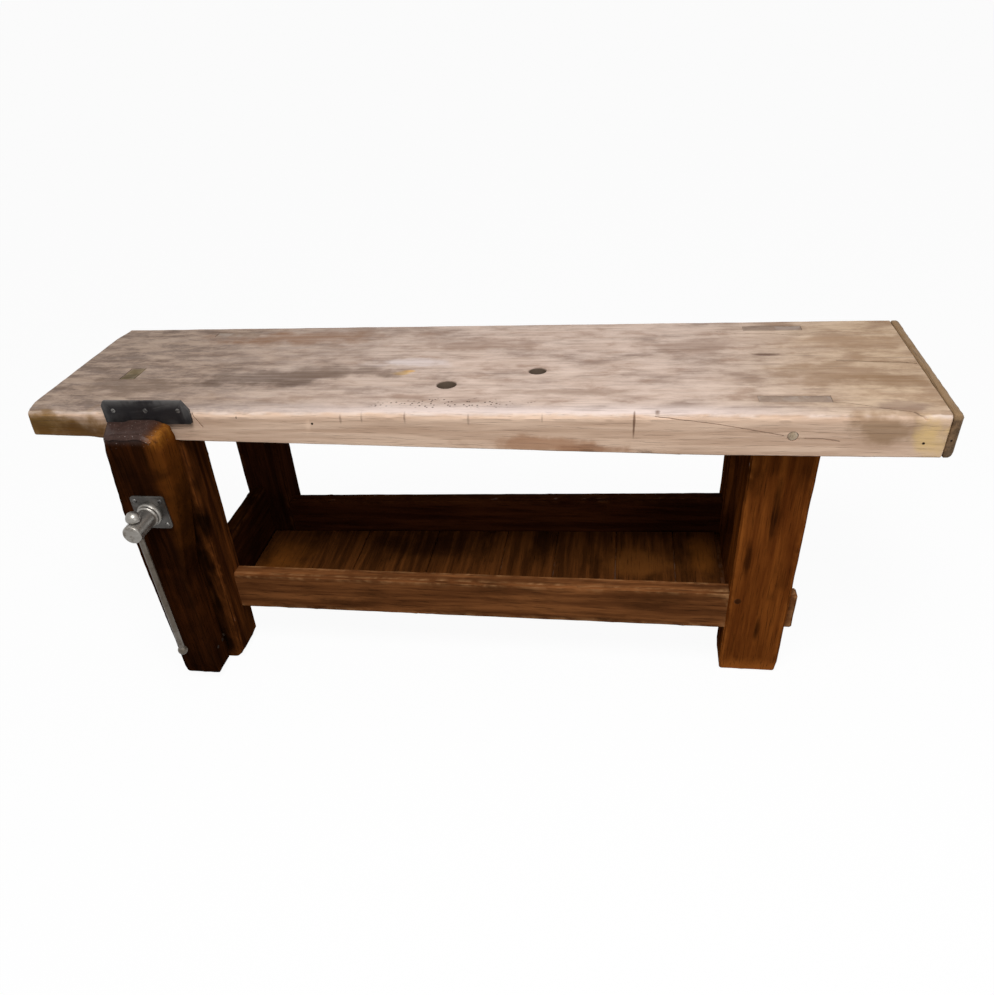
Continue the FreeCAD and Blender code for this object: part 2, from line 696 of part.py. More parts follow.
def vise_chop():
    """A tapered board with its top and foot bevelled."""
    across = [(screw_x - CHOP_LEFT_TOP, chop_top), (screw_x + CHOP_RIGHT_TOP, chop_top),
              (screw_x + CHOP_RIGHT_SHOULDER, screw_z + CHOP_TAPER_RISE),
              (screw_x + CHOP_RIGHT_FOOT, screw_z - CHOP_TAPER_DROP),
              (screw_x + CHOP_RIGHT_FOOT, CHOP_FOOT), (screw_x - CHOP_LEFT_FOOT, CHOP_FOOT),
              (screw_x - CHOP_LEFT_WIDEST, screw_z)]
    along = [(chop_back, CHOP_FOOT), (chop_back, chop_top), (chop_back - CHOP_TOP_FLAT, chop_top),
             (chop_front, chop_top - CHOP_TOP_BEVEL), (chop_front, CHOP_FOOT + CHOP_FOOT_BEVEL),
             (chop_back - CHOP_FOOT_FLAT, CHOP_FOOT)]
    wide = CHOP_LEFT_WIDEST + CHOP_EAR + CHOP_RIGHT_TOP
    board = fused([slab_through_y(across, chop_front, chop_back), chop_ear()])
    board = board.common(slab_through_x(along, screw_x - wide, screw_x + wide))
    cuts = [shank_hole(chop_front, chop_back), thrust_room(THRUST_CLEARANCE), guide_bar(JOINT_CLEARANCE)]
    cuts += guide_nails(PEG_CLEARANCE) + [screw_hole(*place, ALONG_Y) for place in FLANGE_SCREWS]
    return without(board, cuts)


def screw_flange():
    half = FLANGE_SIDE / 2
    plate = box(screw_x - half, screw_x + half, flange_front, chop_front, screw_z - half, screw_z + half)
    cuts = [shank_hole(flange_front, chop_front)] + [screw_hole(*place, ALONG_Y) for place in FLANGE_SCREWS]
    return without(plate, cuts)


def vise_screw():
    """Head, collar and shank in one turned piece, with a cross hole for the tommy bar."""
    collar = COLLAR_DIAMETER / 2
    head = HEAD_DIAMETER / 2
    shank = SHANK_DIAMETER / 2
    edge = SCREW_CHAMFER
    neck = COLLAR_LENGTH / 4
    step = COLLAR_LENGTH / 2
    seat = HEAD_LENGTH + COLLAR_LENGTH - SEAT_GAP
    tip = front + SHANK_END_FROM_FRONT - head_end
    profile = [(0, 0), (head - edge, 0), (head, edge),
               (head, HEAD_LENGTH - neck), (head + neck, HEAD_LENGTH - neck),
               (head + neck, HEAD_LENGTH + neck), (collar, HEAD_LENGTH + step), (collar, seat),
               (shank, seat), (shank, tip - edge), (shank - edge, tip), (0, tip)]
    body = revolved(profile, screw_x, head_end, screw_z, ALONG_Y)
    width = BAR_DIAMETER + 2 * BAR_CLEARANCE
    cross = rod(screw_x, bar_y, screw_z - HEAD_DIAMETER, ALONG_Z, width, 2 * HEAD_DIAMETER)
    return body.cut(cross)


def thrust_collar():
    """A ring fixed on the shank, trapped in the chop behind the flange."""
    ring = rod(screw_x, chop_front + SEAT_GAP, screw_z, ALONG_Y, THRUST_DIAMETER, THRUST_LENGTH)
    hole = rod(screw_x, chop_front, screw_z, ALONG_Y, SHANK_DIAMETER + 2 * SHANK_CLEARANCE, 2 * THRUST_LENGTH)
    return ring.cut(hole)


def vise_nut():
    half = NUT_PLATE_SIDE / 2
    plate = box(screw_x - half, screw_x + half, vise_leg_back, nut_back, screw_z - half, screw_z + half)
    boss = rod(screw_x, vise_leg_back - NUT_BOSS_LENGTH, screw_z, ALONG_Y, NUT_BOSS_DIAMETER,
               NUT_BOSS_LENGTH + NUT_PLATE_THICKNESS)
    bore = rod(screw_x, front, screw_z, ALONG_Y, SHANK_DIAMETER + 2 * SHANK_CLEARANCE, 2 * VISE_LEG_DEPTH)
    return without(fused([plate, boss]), [bore] + [screw_hole(*place, ALONG_Y * -1) for place in NUT_SCREWS])


def leg(name):
    """A leg with its top tenon, less the mortises and holes of all that enters it."""
    post = fused([leg_blank(name), top_tenon(name)])
    cuts = peg_holes(TOP_PEGS) + peg_holes(RAIL_PEGS) + peg_holes(SIDE_PEGS)
    cuts += [front_rail_tenons(JOINT_CLEARANCE), back_rail_tenons(JOINT_CLEARANCE)]
    cuts += [side_rail_tenons(rail, JOINT_CLEARANCE) for rail in SIDE_RAILS]
    if name == "vise_leg":
        boss = rod(screw_x, vise_leg_back - NUT_BOSS_LENGTH - NUT_BOSS_CLEARANCE, screw_z, ALONG_Y,
                   NUT_BOSS_DIAMETER + 2 * NUT_BOSS_CLEARANCE, NUT_BOSS_LENGTH + NUT_BOSS_CLEARANCE)
        cuts += [shank_hole(front, vise_leg_back), boss, guide_bar(GUIDE_CLEARANCE)]
        cuts += [screw_hole(*place, ALONG_Y * -1) for place in NUT_SCREWS]
    return without(post, cuts)


# Tommy bar: it hangs by its knob, which sits on the head of the screw

knob_seat = screw_z + HEAD_DIAMETER / 2 + SEAT_GAP
bar_bottom = knob_seat - BAR_LENGTH


def tommy_bar():
    return rod(screw_x, bar_y, bar_bottom, ALONG_Z, BAR_DIAMETER, BAR_LENGTH)


def bar_knob():
    radius = KNOB_DIAMETER / 2
    dome = Part.makeSphere(radius, V(screw_x, bar_y, knob_seat + KNOB_HEIGHT - radius))
    return dome.common(box(screw_x - radius, screw_x + radius, bar_y - radius, bar_y + radius,
                           knob_seat, knob_seat + KNOB_HEIGHT))


def bar_ball():
    radius = BALL_DIAMETER / 2
    ball = Part.makeSphere(radius, V(screw_x, bar_y, bar_bottom + radius / 2))
    return ball.cut(tommy_bar())


def screws(places, direction):
    return Part.makeCompound([wood_screw(*place, direction) for place in places])


def all_pieces():
    pieces = {name: leg(name) for name in LEG_POSTS}
    pieces.update({name: side_rail(name) for name in SIDE_RAILS})
    pieces.update({name: ledger(name) for name in LEDGERS})
    for number, board in enumerate(shelf_boards(), start=1):
        pieces[f"shelf_board_{number}"] = board
    pieces.update({
        "bench_top": bench_top(),
        "top_end_cap": end_cap(),
        "cap_nails": Part.makeCompound(cap_nails()),
        "front_rail": front_rail(),
        "back_rail": back_rail(),
        "ledger_nails": Part.makeCompound(ledger_nails()),
        "top_pegs": peg_solids(TOP_PEGS),
        "rail_pegs": peg_solids(RAIL_PEGS),
        "side_rail_pegs": peg_solids(SIDE_PEGS),
        "planing_stop": stop_block(),
        "jaw_plate": jaw_plate(),
        "jaw_plate_screws": Part.makeCompound([flush_screw(*place, ALONG_Y) for place in PLATE_SCREWS]),
        "vise_chop": vise_chop(),
        "screw_flange": screw_flange(),
        "flange_screws": screws(FLANGE_SCREWS, ALONG_Y),
        "vise_screw": vise_screw(),
        "thrust_collar": thrust_collar(),
        "vise_nut": vise_nut(),
        "nut_screws": screws(NUT_SCREWS, ALONG_Y * -1),
        "parallel_guide": parallel_guide(),
        "guide_nails": Part.makeCompound(guide_nails()),
        "guide_pin": guide_pin(),
        "tommy_bar": tommy_bar(),
        "bar_knob": bar_knob(),
        "bar_ball": bar_ball(),
    })
    return pieces


os.makedirs("parts", exist_ok=True)
for node, shape in all_pieces().items():
    shape.exportStep(f"parts/{node}.step")
    print(f"{node}: {len(shape.Solids)} solid(s), {shape.Volume / 1000:.1f} cm3, valid {shape.isValid()}")
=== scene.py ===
# %% [markdown]
# # An old joiner's bench, dressed
# The frame of this lesson is a bench that is already drawn as solids, to size and with its joints.
# Here it gets its worn edges, its wood, its iron and its light. Each step says what the piece is on
# the real bench, how it could be made in Blender, and why it is made this way.

# %% Load the frame
import math

import bmesh
import bpy
from mathutils import Matrix, Vector


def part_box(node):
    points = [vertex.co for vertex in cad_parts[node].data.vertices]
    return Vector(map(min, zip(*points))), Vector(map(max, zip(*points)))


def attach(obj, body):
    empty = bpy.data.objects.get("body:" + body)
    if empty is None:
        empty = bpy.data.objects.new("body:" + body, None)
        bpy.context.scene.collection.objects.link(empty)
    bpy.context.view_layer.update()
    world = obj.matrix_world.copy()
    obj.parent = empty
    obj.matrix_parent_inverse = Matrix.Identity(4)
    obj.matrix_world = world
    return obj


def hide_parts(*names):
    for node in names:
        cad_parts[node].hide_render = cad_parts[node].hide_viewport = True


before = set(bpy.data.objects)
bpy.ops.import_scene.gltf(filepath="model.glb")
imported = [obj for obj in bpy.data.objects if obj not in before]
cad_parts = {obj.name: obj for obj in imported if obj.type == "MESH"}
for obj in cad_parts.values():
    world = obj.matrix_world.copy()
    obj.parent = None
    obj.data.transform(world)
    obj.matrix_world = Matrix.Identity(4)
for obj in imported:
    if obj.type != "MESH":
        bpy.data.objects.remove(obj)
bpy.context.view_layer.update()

# %% [markdown]
# ## The camera
# The bench was looked at from the front, a little right of its middle and from standing height.
# A camera could be turned by eye until the picture agrees. It is surer to work out where it stood
# from the corners of the top and the feet, and to keep that place and turn as numbers. The picture
# was cropped, so the middle of the lens isn't the middle of the frame, and the camera is shifted.

# %% Set the camera
PHOTO_WIDTH = 994
PHOTO_HEIGHT = 995
PHOTO_FOCUS = 822.54
LENS_MIDDLE = (471.4, 597.2)
SENSOR = 36.0
CAMERA_PLACE = Vector((0.3428, -1.7380, 1.4969))
CAMERA_TURN = Vector((2.22935, 0.13451, -0.16031))

turn = Matrix.Rotation(CAMERA_TURN.length, 3, CAMERA_TURN.normalized())
to_right, to_down, ahead = turn
bpy.ops.object.select_all(action="DESELECT")
bpy.ops.object.camera_add()
camera = bpy.context.active_object
camera_axes = Matrix((to_right, -to_down, -ahead)).transposed().to_4x4()
camera.matrix_world = Matrix.Translation(CAMERA_PLACE) @ camera_axes
longer = max(PHOTO_WIDTH, PHOTO_HEIGHT)
camera.data.sensor_width = SENSOR
camera.data.lens = PHOTO_FOCUS * SENSOR / longer
camera.data.shift_x = (PHOTO_WIDTH / 2 - LENS_MIDDLE[0]) / longer
camera.data.shift_y = (LENS_MIDDLE[1] - PHOTO_HEIGHT / 2) / longer
camera.data.clip_end = 2000
bpy.context.scene.camera = camera


def seen_at(u, v, axis, level):
    """The place seen at pixel u, v of the picture, on the plane where x, y or z (0, 1 or 2) is level."""
    aside = (u - LENS_MIDDLE[0]) / PHOTO_FOCUS
    down = (v - LENS_MIDDLE[1]) / PHOTO_FOCUS
    ray = turn.transposed() @ Vector((aside, down, 1))
    return CAMERA_PLACE + ray * ((level - CAMERA_PLACE[axis]) / ray[axis])


print("lens", round(camera.data.lens, 2), "mm")

# %% [markdown]
# ## Small tools for nodes
# A finish in Blender is a net of nodes. Wiring it by hand in code is long, so a few helpers add a
# node, feed a socket and mix two colours. Colours are written as they look on a screen, from 0 to
# 255, and are turned into the straight numbers that light is added up in.

# %% Node helpers

def colour(red, green, blue):
    def straight(value):
        share = value / 255
        return share / 12.92 if share <= 0.04045 else ((share + 0.055) / 1.055) ** 2.4
    return (straight(red), straight(green), straight(blue), 1.0)


def add(tree, kind, **settings):
    made = tree.nodes.new("ShaderNode" + kind)
    for name, value in settings.items():
        setattr(made, name, value)
    return made


def feed(tree, socket, value):
    """Link a socket to another one, or set it to a plain value."""
    if isinstance(value, bpy.types.NodeSocket):
        tree.links.new(value, socket)
    else:
        socket.default_value = value


def noise(tree, vector, scale, detail=4.0, roughness=0.55, distortion=0.0):
    made = add(tree, "TexNoise")
    feed(tree, made.inputs["Vector"], vector)
    for name, value in (("Scale", scale), ("Detail", detail), ("Roughness", roughness),
                        ("Distortion", distortion)):
        feed(tree, made.inputs[name], value)
    return made.outputs[0]


def rise(tree, value, low, high):
    """A soft step from 0 at low to 1 at high."""
    made = add(tree, "MapRange", interpolation_type="SMOOTHSTEP")
    for socket, given in zip(made.inputs, (value, low, high)):
        feed(tree, socket, given)
    return made.outputs[0]


def spread(tree, value, lowest, highest):
    """A value from 0 to 1, laid between two numbers."""
    made = add(tree, "MapRange")
    for socket, given in zip(made.inputs, (value, 0.0, 1.0, lowest, highest)):
        feed(tree, socket, given)
    return made.outputs[0]


def calc(tree, kind, first, second=0.0):
    made = add(tree, "Math", operation=kind)
    feed(tree, made.inputs[0], first)
    feed(tree, made.inputs[1], second)
    return made.outputs[0]


def times(tree, first, *others):
    """The product of values or masks."""
    for other in others:
        first = calc(tree, "MULTIPLY", first, other)
    return first


def mixed(tree, factor, first, second):
    made = add(tree, "Mix", data_type="RGBA")
    feed(tree, made.inputs[0], factor)
    feed(tree, made.inputs[6], first)
    feed(tree, made.inputs[7], second)
    return made.outputs[2]


def washed(tree, tint, mask, weight, stain):
    """A colour with a stain over it where a mask says, at a weight from 0 to 1 or by a second mask."""
    return mixed(tree, times(tree, mask, weight), tint, stain)


def stretched(tree, vector, lengthwise, across):
    """Coordinates squeezed one way along the grain and another way across it."""
    made = add(tree, "VectorMath", operation="MULTIPLY")
    feed(tree, made.inputs[0], vector)
    made.inputs[1].default_value = (lengthwise, across, across)
    return made.outputs[0]


print("node helpers ready")

# %% [markdown]
# ## Small tools for groups
# A group of nodes is a finish's building block: it is wired once, has named sockets like any node,
# and can be placed in many finishes. Its sockets are made on its interface, with a kind and, where
# it helps, a value to start from. All masks that come out of a group are plain numbers from 0 to 1.

# %% Group helpers

def new_group(name, inputs, outputs):
    """An empty group, with its inner ends: the sockets that come in and those that go out."""
    tree = bpy.data.node_groups.new(name, "ShaderNodeTree")
    for title, kind, value in inputs:
        socket = tree.interface.new_socket(title, in_out="INPUT", socket_type="NodeSocket" + kind)
        if value is not None:
            socket.default_value = value
    for title in outputs:
        tree.interface.new_socket(title, in_out="OUTPUT", socket_type="NodeSocketFloat")
    return tree, tree.nodes.new("NodeGroupInput").outputs, tree.nodes.new("NodeGroupOutput").inputs


def use_group(tree, group, values):
    """Place a group in a finish, with values or links for its named inputs."""
    made = add(tree, "Group", node_tree=group)
    for title, value in values.items():
        feed(tree, made.inputs[title], value)
    return made.outputs


print("group helpers ready")

# %% [markdown]
# ## Four effects that the finishes share
# Wood shows long streaks, fine pores and a wavy figure, all drawn out along the grain: noise does
# that when its space is squeezed along one direction. Age shows as patches, as single spots with
# ragged rims, and as rubbed edges. Each effect is one node group with named sockets, so that every
# finish can use it with its own values, and a short function places it and hands back its masks.

# %% Grain, patches, spots and rubbed edges
grain_group, given, result = new_group("wood_grain", [("Vector", "Vector", None)],
                                       ["Streaks", "Pores", "Figure"])
long_space = stretched(grain_group, given["Vector"], 1.6, 26.0)
streak_noise = noise(grain_group, long_space, 2.0, 7.0, 0.62, 0.35)
feed(grain_group, result["Streaks"], rise(grain_group, streak_noise, 0.33, 0.68))
pore_space = stretched(grain_group, given["Vector"], 14.0, 420.0)
feed(grain_group, result["Pores"], rise(grain_group, noise(grain_group, pore_space, 1.0, 2.0), 0.56, 0.70))
figure_space = stretched(grain_group, given["Vector"], 0.9, 8.0)
waves = add(grain_group, "TexWave", bands_direction="Y")
feed(grain_group, waves.inputs["Vector"], figure_space)
for name, value in (("Scale", 1.9), ("Distortion", 9.0), ("Detail", 3.0), ("Detail Scale", 0.7)):
    waves.inputs[name].default_value = value
feed(grain_group, result["Figure"], waves.outputs["Fac"])

patch_group, given, result = new_group(
    "patches", [("Vector", "Vector", None), ("Scale", "Float", 4.0), ("Low", "Float", 0.5),
                ("High", "Float", 0.6)], ["Mask"])
patch_noise = noise(patch_group, given["Vector"], given["Scale"], 6.0, 0.6, 0.3)
feed(patch_group, result["Mask"], rise(patch_group, patch_noise, given["Low"], given["High"]))

spot_group, given, result = new_group(
    "spot", [("Vector", "Vector", None), ("Centre", "Vector", (0, 0, 0)), ("Size", "Vector", (1, 1, 1)),
             ("Ragged", "Float", 0.9)], ["Mask"])
away = add(spot_group, "VectorMath", operation="SUBTRACT")
feed(spot_group, away.inputs[0], given["Vector"])
feed(spot_group, away.inputs[1], given["Centre"])
scaled = add(spot_group, "VectorMath", operation="DIVIDE")
feed(spot_group, scaled.inputs[0], away.outputs[0])
feed(spot_group, scaled.inputs[1], given["Size"])
distance = add(spot_group, "VectorMath", operation="LENGTH")
feed(spot_group, distance.inputs[0], scaled.outputs[0])
rim = calc(spot_group, "SUBTRACT", noise(spot_group, given["Vector"], 17.0, 4.0, 0.55), 0.5)
rim = times(spot_group, rim, given["Ragged"], 2.0)
rim = calc(spot_group, "ADD", distance.outputs["Value"], rim)
feed(spot_group, result["Mask"], rise(spot_group, rim, 1.0, 0.3))

rubbed_group, given, result = new_group(
    "rubbed_edges", [("Vector", "Vector", None), ("Low", "Float", 0.51), ("High", "Float", 0.58)], ["Mask"])
sharpness = add(rubbed_group, "NewGeometry").outputs["Pointiness"]
edge = rise(rubbed_group, sharpness, given["Low"], given["High"])
broken = rise(rubbed_group, noise(rubbed_group, given["Vector"], 24.0, 4.0), 0.35, 0.62)
feed(rubbed_group, result["Mask"], times(rubbed_group, edge, broken))


def wood_grain(tree, vector):
    return use_group(tree, grain_group, {"Vector": vector})


def patches(tree, vector, scale, low, high):
    values = {"Vector": vector, "Scale": scale, "Low": low, "High": high}
    return use_group(tree, patch_group, values)["Mask"]


def spot(tree, vector, centre, size, ragged=0.9):
    values = {"Vector": vector, "Centre": centre, "Size": size, "Ragged": ragged}
    return use_group(tree, spot_group, values)["Mask"]


def rubbed_edges(tree, vector, low=0.51, high=0.58):
    return use_group(tree, rubbed_group, {"Vector": vector, "Low": low, "High": high})["Mask"]


print("node groups:", [group.name for group in bpy.data.node_groups])

# %% [markdown]
# ## Starting a finish
# Every finish begins in the same way: a Principled shader, and the place on the piece as Object
# coordinates. Posts have their grain upright and the shelf boards from front to back, so the
# coordinates can be put in another order before the grain reads them. Relief goes into a Bump node.

# %% Finish helpers

def new_finish(name):
    """A material, its tree, its shader's inputs and the place on the piece."""
    finish = bpy.data.materials.new(name)
    finish.use_nodes = True
    tree = finish.node_tree
    return finish, tree, tree.nodes["Principled BSDF"].inputs, add(tree, "TexCoord").outputs["Object"]


def reordered(tree, place, order):
    """Coordinates in another order, so that the grain runs along the first of them."""
    apart = add(tree, "SeparateXYZ")
    feed(tree, apart.inputs[0], place)
    together = add(tree, "CombineXYZ")
    for number, axis in enumerate(order):
        feed(tree, together.inputs[number], apart.outputs[axis])
    return together.outputs[0]


def raised(tree, shader, height, strength, depth):
    bump = add(tree, "Bump")
    bump.inputs["Strength"].default_value = strength
    bump.inputs["Distance"].default_value = depth
    feed(tree, bump.inputs["Height"], height)
    feed(tree, shader["Normal"], bump.outputs[0])


def grain_relief(tree, shader, grain, strength, depth):
    """Streaks stand up and pores lie low."""
    raised(tree, shader, calc(tree, "SUBTRACT", grain["Streaks"], grain["Pores"]), strength, depth)


def step_along(tree, place, axis, low, high):
    """A soft step from 0 to 1 between two places on the X, Y or Z axis."""
    apart = add(tree, "SeparateXYZ")
    feed(tree, apart.inputs[0], place)
    return rise(tree, apart.outputs[axis], low, high)


print("finish helpers ready")

# %% [markdown]
# ## The bare wood of the top
# The top is bare, pale and pinkish on its upper face, greyer towards the vise, and tan on its front
# edge. It could be one flat brown, but the picture shows long years of work: soft grey blotches,
# stains, a row of worm holes, nicks along the arris, a dark smudge on the front and a bark-brown
# corner. The spots are placed by the pixel where each one is seen, on the face that carries it.

# %% Marks of the top
TOP_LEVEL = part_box("bench_top")[1].z
TOP_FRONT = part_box("bench_top")[0].y
TOP_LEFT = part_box("bench_top")[0].x
TOP_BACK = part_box("bench_top")[1].y

# Spots: pixel, size along x, y and z in metres, colour
TOP_SPOTS = (
    (408, 362, (0.12, 0.035, 0.02), colour(214, 199, 194)),
    (403, 373, (0.026, 0.012, 0.02), colour(204, 164, 96)),
    (410, 371, (0.020, 0.010, 0.02), colour(208, 158, 80)),
    (765, 354, (0.045, 0.012, 0.02), colour(92, 68, 56)),
    (300, 338, (0.30, 0.06, 0.02), colour(138, 104, 80)),
    (262, 378, (0.26, 0.07, 0.02), colour(90, 72, 61)),
    (330, 372, (0.22, 0.05, 0.02), colour(114, 94, 81)),
    (130, 385, (0.18, 0.07, 0.02), colour(120, 100, 85)),
    (480, 345, (0.24, 0.05, 0.02), colour(148, 122, 106)),
    (840, 372, (0.20, 0.08, 0.02), colour(150, 121, 95)),
    (846, 340, (0.22, 0.05, 0.02), colour(156, 124, 96)),
    (885, 380, (0.16, 0.05, 0.02), colour(142, 112, 84)),
    (690, 346, (0.18, 0.05, 0.02), colour(148, 122, 106)),
    (905, 405, (0.07, 0.03, 0.02), colour(134, 108, 94)),
    (560, 392, (0.22, 0.02, 0.02), colour(160, 136, 120)),
)
FRONT_SPOTS = (
    (886, 430, (0.100, 0.05, 0.042), colour(158, 128, 100)),
    (932, 437, (0.045, 0.02, 0.055), colour(224, 190, 132)),
    (538, 446, (0.20, 0.03, 0.028), colour(174, 131, 101)),
    (590, 449, (0.10, 0.03, 0.014), colour(162, 119, 91)),
    (634, 425, (0.003, 0.02, 0.034), colour(112, 84, 66)),
    (66, 428, (0.20, 0.06, 0.046), colour(140, 103, 52)),
    (42, 427, (0.10, 0.08, 0.050), colour(128, 95, 48)),
    (80, 433, (0.15, 0.06, 0.040), colour(98, 64, 24)),
    (658, 413, (0.008, 0.02, 0.008), colour(110, 84, 68)),
    (708, 412, (0.007, 0.02, 0.008), colour(120, 94, 78)),
)

# Nicks in the upper arris: pixel and height
NICKS = ((340, 419, 0.012), (361, 418, 0.018), (404, 417, 0.022), (468, 420, 0.017), (542, 419, 0.013))
NICK_WIDTH = 0.0036
WORM_ROW = (446, 403.5)
WORM_ROW_SIZE = (0.24, 0.030, 0.02)
print("marks of the top:", len(TOP_SPOTS) + len(FRONT_SPOTS) + len(NICKS))

# %% [markdown]
# The finish is laid on as a painter would, one thin colour over the other: first the face with a
# painted highlight along its front, then the front edge with a painted highlight on its arris, the
# marks, the worm holes, and at last painted shade inside holes and cracks, told by depth below the
# face. One long recipe would do the same, but a function for each layer is easier to try alone.

# %% Bare wood of the top

def upper_face(tree, place, grain):
    tint = mixed(tree, grain["Streaks"], colour(185, 161, 146), colour(207, 185, 170))
    tint = washed(tree, tint, grain["Figure"], 0.25, colour(188, 160, 142))
    grey = patches(tree, stretched(tree, place, 1.0, 2.6), scale=4.2, low=0.43, high=0.62)
    tint = washed(tree, tint, grey, 0.85, colour(142, 120, 107))
    blotch = patches(tree, stretched(tree, place, 1.0, 1.7), scale=11.0, low=0.50, high=0.64)
    tint = washed(tree, tint, blotch, 0.55, colour(150, 121, 103))
    mottle = rise(tree, noise(tree, stretched(tree, place, 5.0, 11.0), 2.0, 7.0, 0.66), 0.36, 0.66)
    tint = washed(tree, tint, mottle, 0.60, colour(222, 200, 186))
    # Painted highlight: a paler strip along the front of the upper face, by the rounded arris
    front_highlight_strip = step_along(tree, place, "Y", TOP_FRONT + 0.060, TOP_FRONT + 0.010)
    tint = washed(tree, tint, front_highlight_strip, 0.7, colour(226, 209, 202))
    near_cap = step_along(tree, place, "X", 0.45, 0.95)
    warm = mixed(tree, mottle, colour(158, 127, 96), colour(204, 176, 144))
    tint = washed(tree, tint, near_cap, 0.80, warm)
    near_vise = step_along(tree, place, "X", 0.05, -0.90)
    rough_grain = rise(tree, noise(tree, stretched(tree, place, 6.0, 19.0), 2.0, 8.0, 0.75), 0.38, 0.62)
    rough = mixed(tree, rough_grain, colour(100, 82, 70), colour(168, 146, 128))
    tint = washed(tree, tint, near_vise, 0.85, rough)
    scores = rise(tree, noise(tree, stretched(tree, place, 5.0, 90.0), 1.0, 5.0, 0.65), 0.52, 0.66)
    return washed(tree, tint, scores, spread(tree, grey, 0.22, 0.50), colour(116, 96, 84))


def tan_front(tree, place, grain, tint):
    """Tan on the front edge, with a painted highlight: a paler, broken line along its upper arris."""
    on_front = step_along(tree, place, "Y", TOP_FRONT + 0.010, TOP_FRONT + 0.003)
    tan = mixed(tree, grain["Streaks"], colour(196, 164, 140), colour(224, 194, 170))
    tint = mixed(tree, on_front, tint, tan)
    # Painted highlight along the upper arris of the front edge
    high = step_along(tree, place, "Z", TOP_LEVEL - 0.012, TOP_LEVEL - 0.003)
    arris = times(tree, on_front, high, rise(tree, noise(tree, place, 16.0), 0.38, 0.62))
    return mixed(tree, arris, tint, colour(226, 210, 200))


def marked(tree, place, grain, tint):
    nicks = [(u, v, (NICK_WIDTH, 0.02, tall), colour(134, 110, 96)) for u, v, tall in NICKS]
    for spots, axis, level, weakest in ((TOP_SPOTS, 2, TOP_LEVEL, 0.45), (FRONT_SPOTS, 1, TOP_FRONT, 0.8),
                                        (nicks, 1, TOP_FRONT, 0.3)):
        for u, v, size, stain in spots:
            mask = spot(tree, place, seen_at(u, v, axis, level), size)
            tint = washed(tree, tint, mask, spread(tree, grain["Streaks"], 0.92, weakest), stain)
    return tint


def worm_eaten(tree, place, tint):
    worms = add(tree, "TexVoronoi")
    feed(tree, worms.inputs["Vector"], place)
    worms.inputs["Scale"].default_value = 105.0
    row = spot(tree, place, seen_at(*WORM_ROW, 2, TOP_LEVEL), WORM_ROW_SIZE)
    return washed(tree, tint, rise(tree, worms.outputs["Distance"], 0.30, 0.19), row, colour(70, 54, 45))


def shaded_inside_and_dark_left_end(tree, place, tint):
    """Painted shade where the wood lies below the face and away from the edges, and darker along the back
    left end.
    """
    below = step_along(tree, place, "Z", TOP_LEVEL - 0.0015, TOP_LEVEL - 0.0045)
    behind_front = step_along(tree, place, "Y", TOP_FRONT + 0.012, TOP_FRONT + 0.020)
    before_back = step_along(tree, place, "Y", TOP_BACK - 0.006, TOP_BACK - 0.014)
    beside_end = step_along(tree, place, "X", TOP_LEFT + 0.012, TOP_LEFT + 0.020)
    # Painted shade in holes, mortises and cracks and on the underside
    inside = times(tree, behind_front, before_back, beside_end, below)
    tint = mixed(tree, inside, tint, colour(92, 78, 66))
    left_end = step_along(tree, place, "X", TOP_LEFT + 0.007, TOP_LEFT + 0.002)
    left_end = times(tree, left_end, step_along(tree, place, "Y", 0.02, 0.16))
    return washed(tree, tint, left_end, 0.85, colour(78, 61, 50))


def bare_top_wood():
    finish, tree, shader, place = new_finish("bare_top_wood")
    grain = wood_grain(tree, place)
    tint = tan_front(tree, place, grain, upper_face(tree, place, grain))
    tint = worm_eaten(tree, place, marked(tree, place, grain, tint))
    tint = shaded_inside_and_dark_left_end(tree, place, tint)
    tint = washed(tree, tint, grain["Pores"], 0.30, colour(112, 88, 72))
    feed(tree, shader["Base Color"], tint)
    feed(tree, shader["Roughness"], spread(tree, grain["Streaks"], 0.66, 0.52))
    shader["Specular IOR Level"].default_value = 0.10
    grain_relief(tree, shader, grain, strength=0.35, depth=0.0012)
    return finish


top_wood = bare_top_wood()
print("finish:", top_wood.name, "with", len(top_wood.node_tree.nodes), "nodes")

# %% [markdown]
# ## Varnished wood of the base
# Legs, rails, shelf and chop are a dark red-brown under old varnish. Where hands and boots rub, the
# varnish is thin and the wood shows orange. One recipe serves all but the chop, with the grain
# turned along each piece and its own pair of colours. The ends of the tenons that come up through
# the top are bare, so above a given height the recipe turns to grey end grain.

# %% Varnished wood

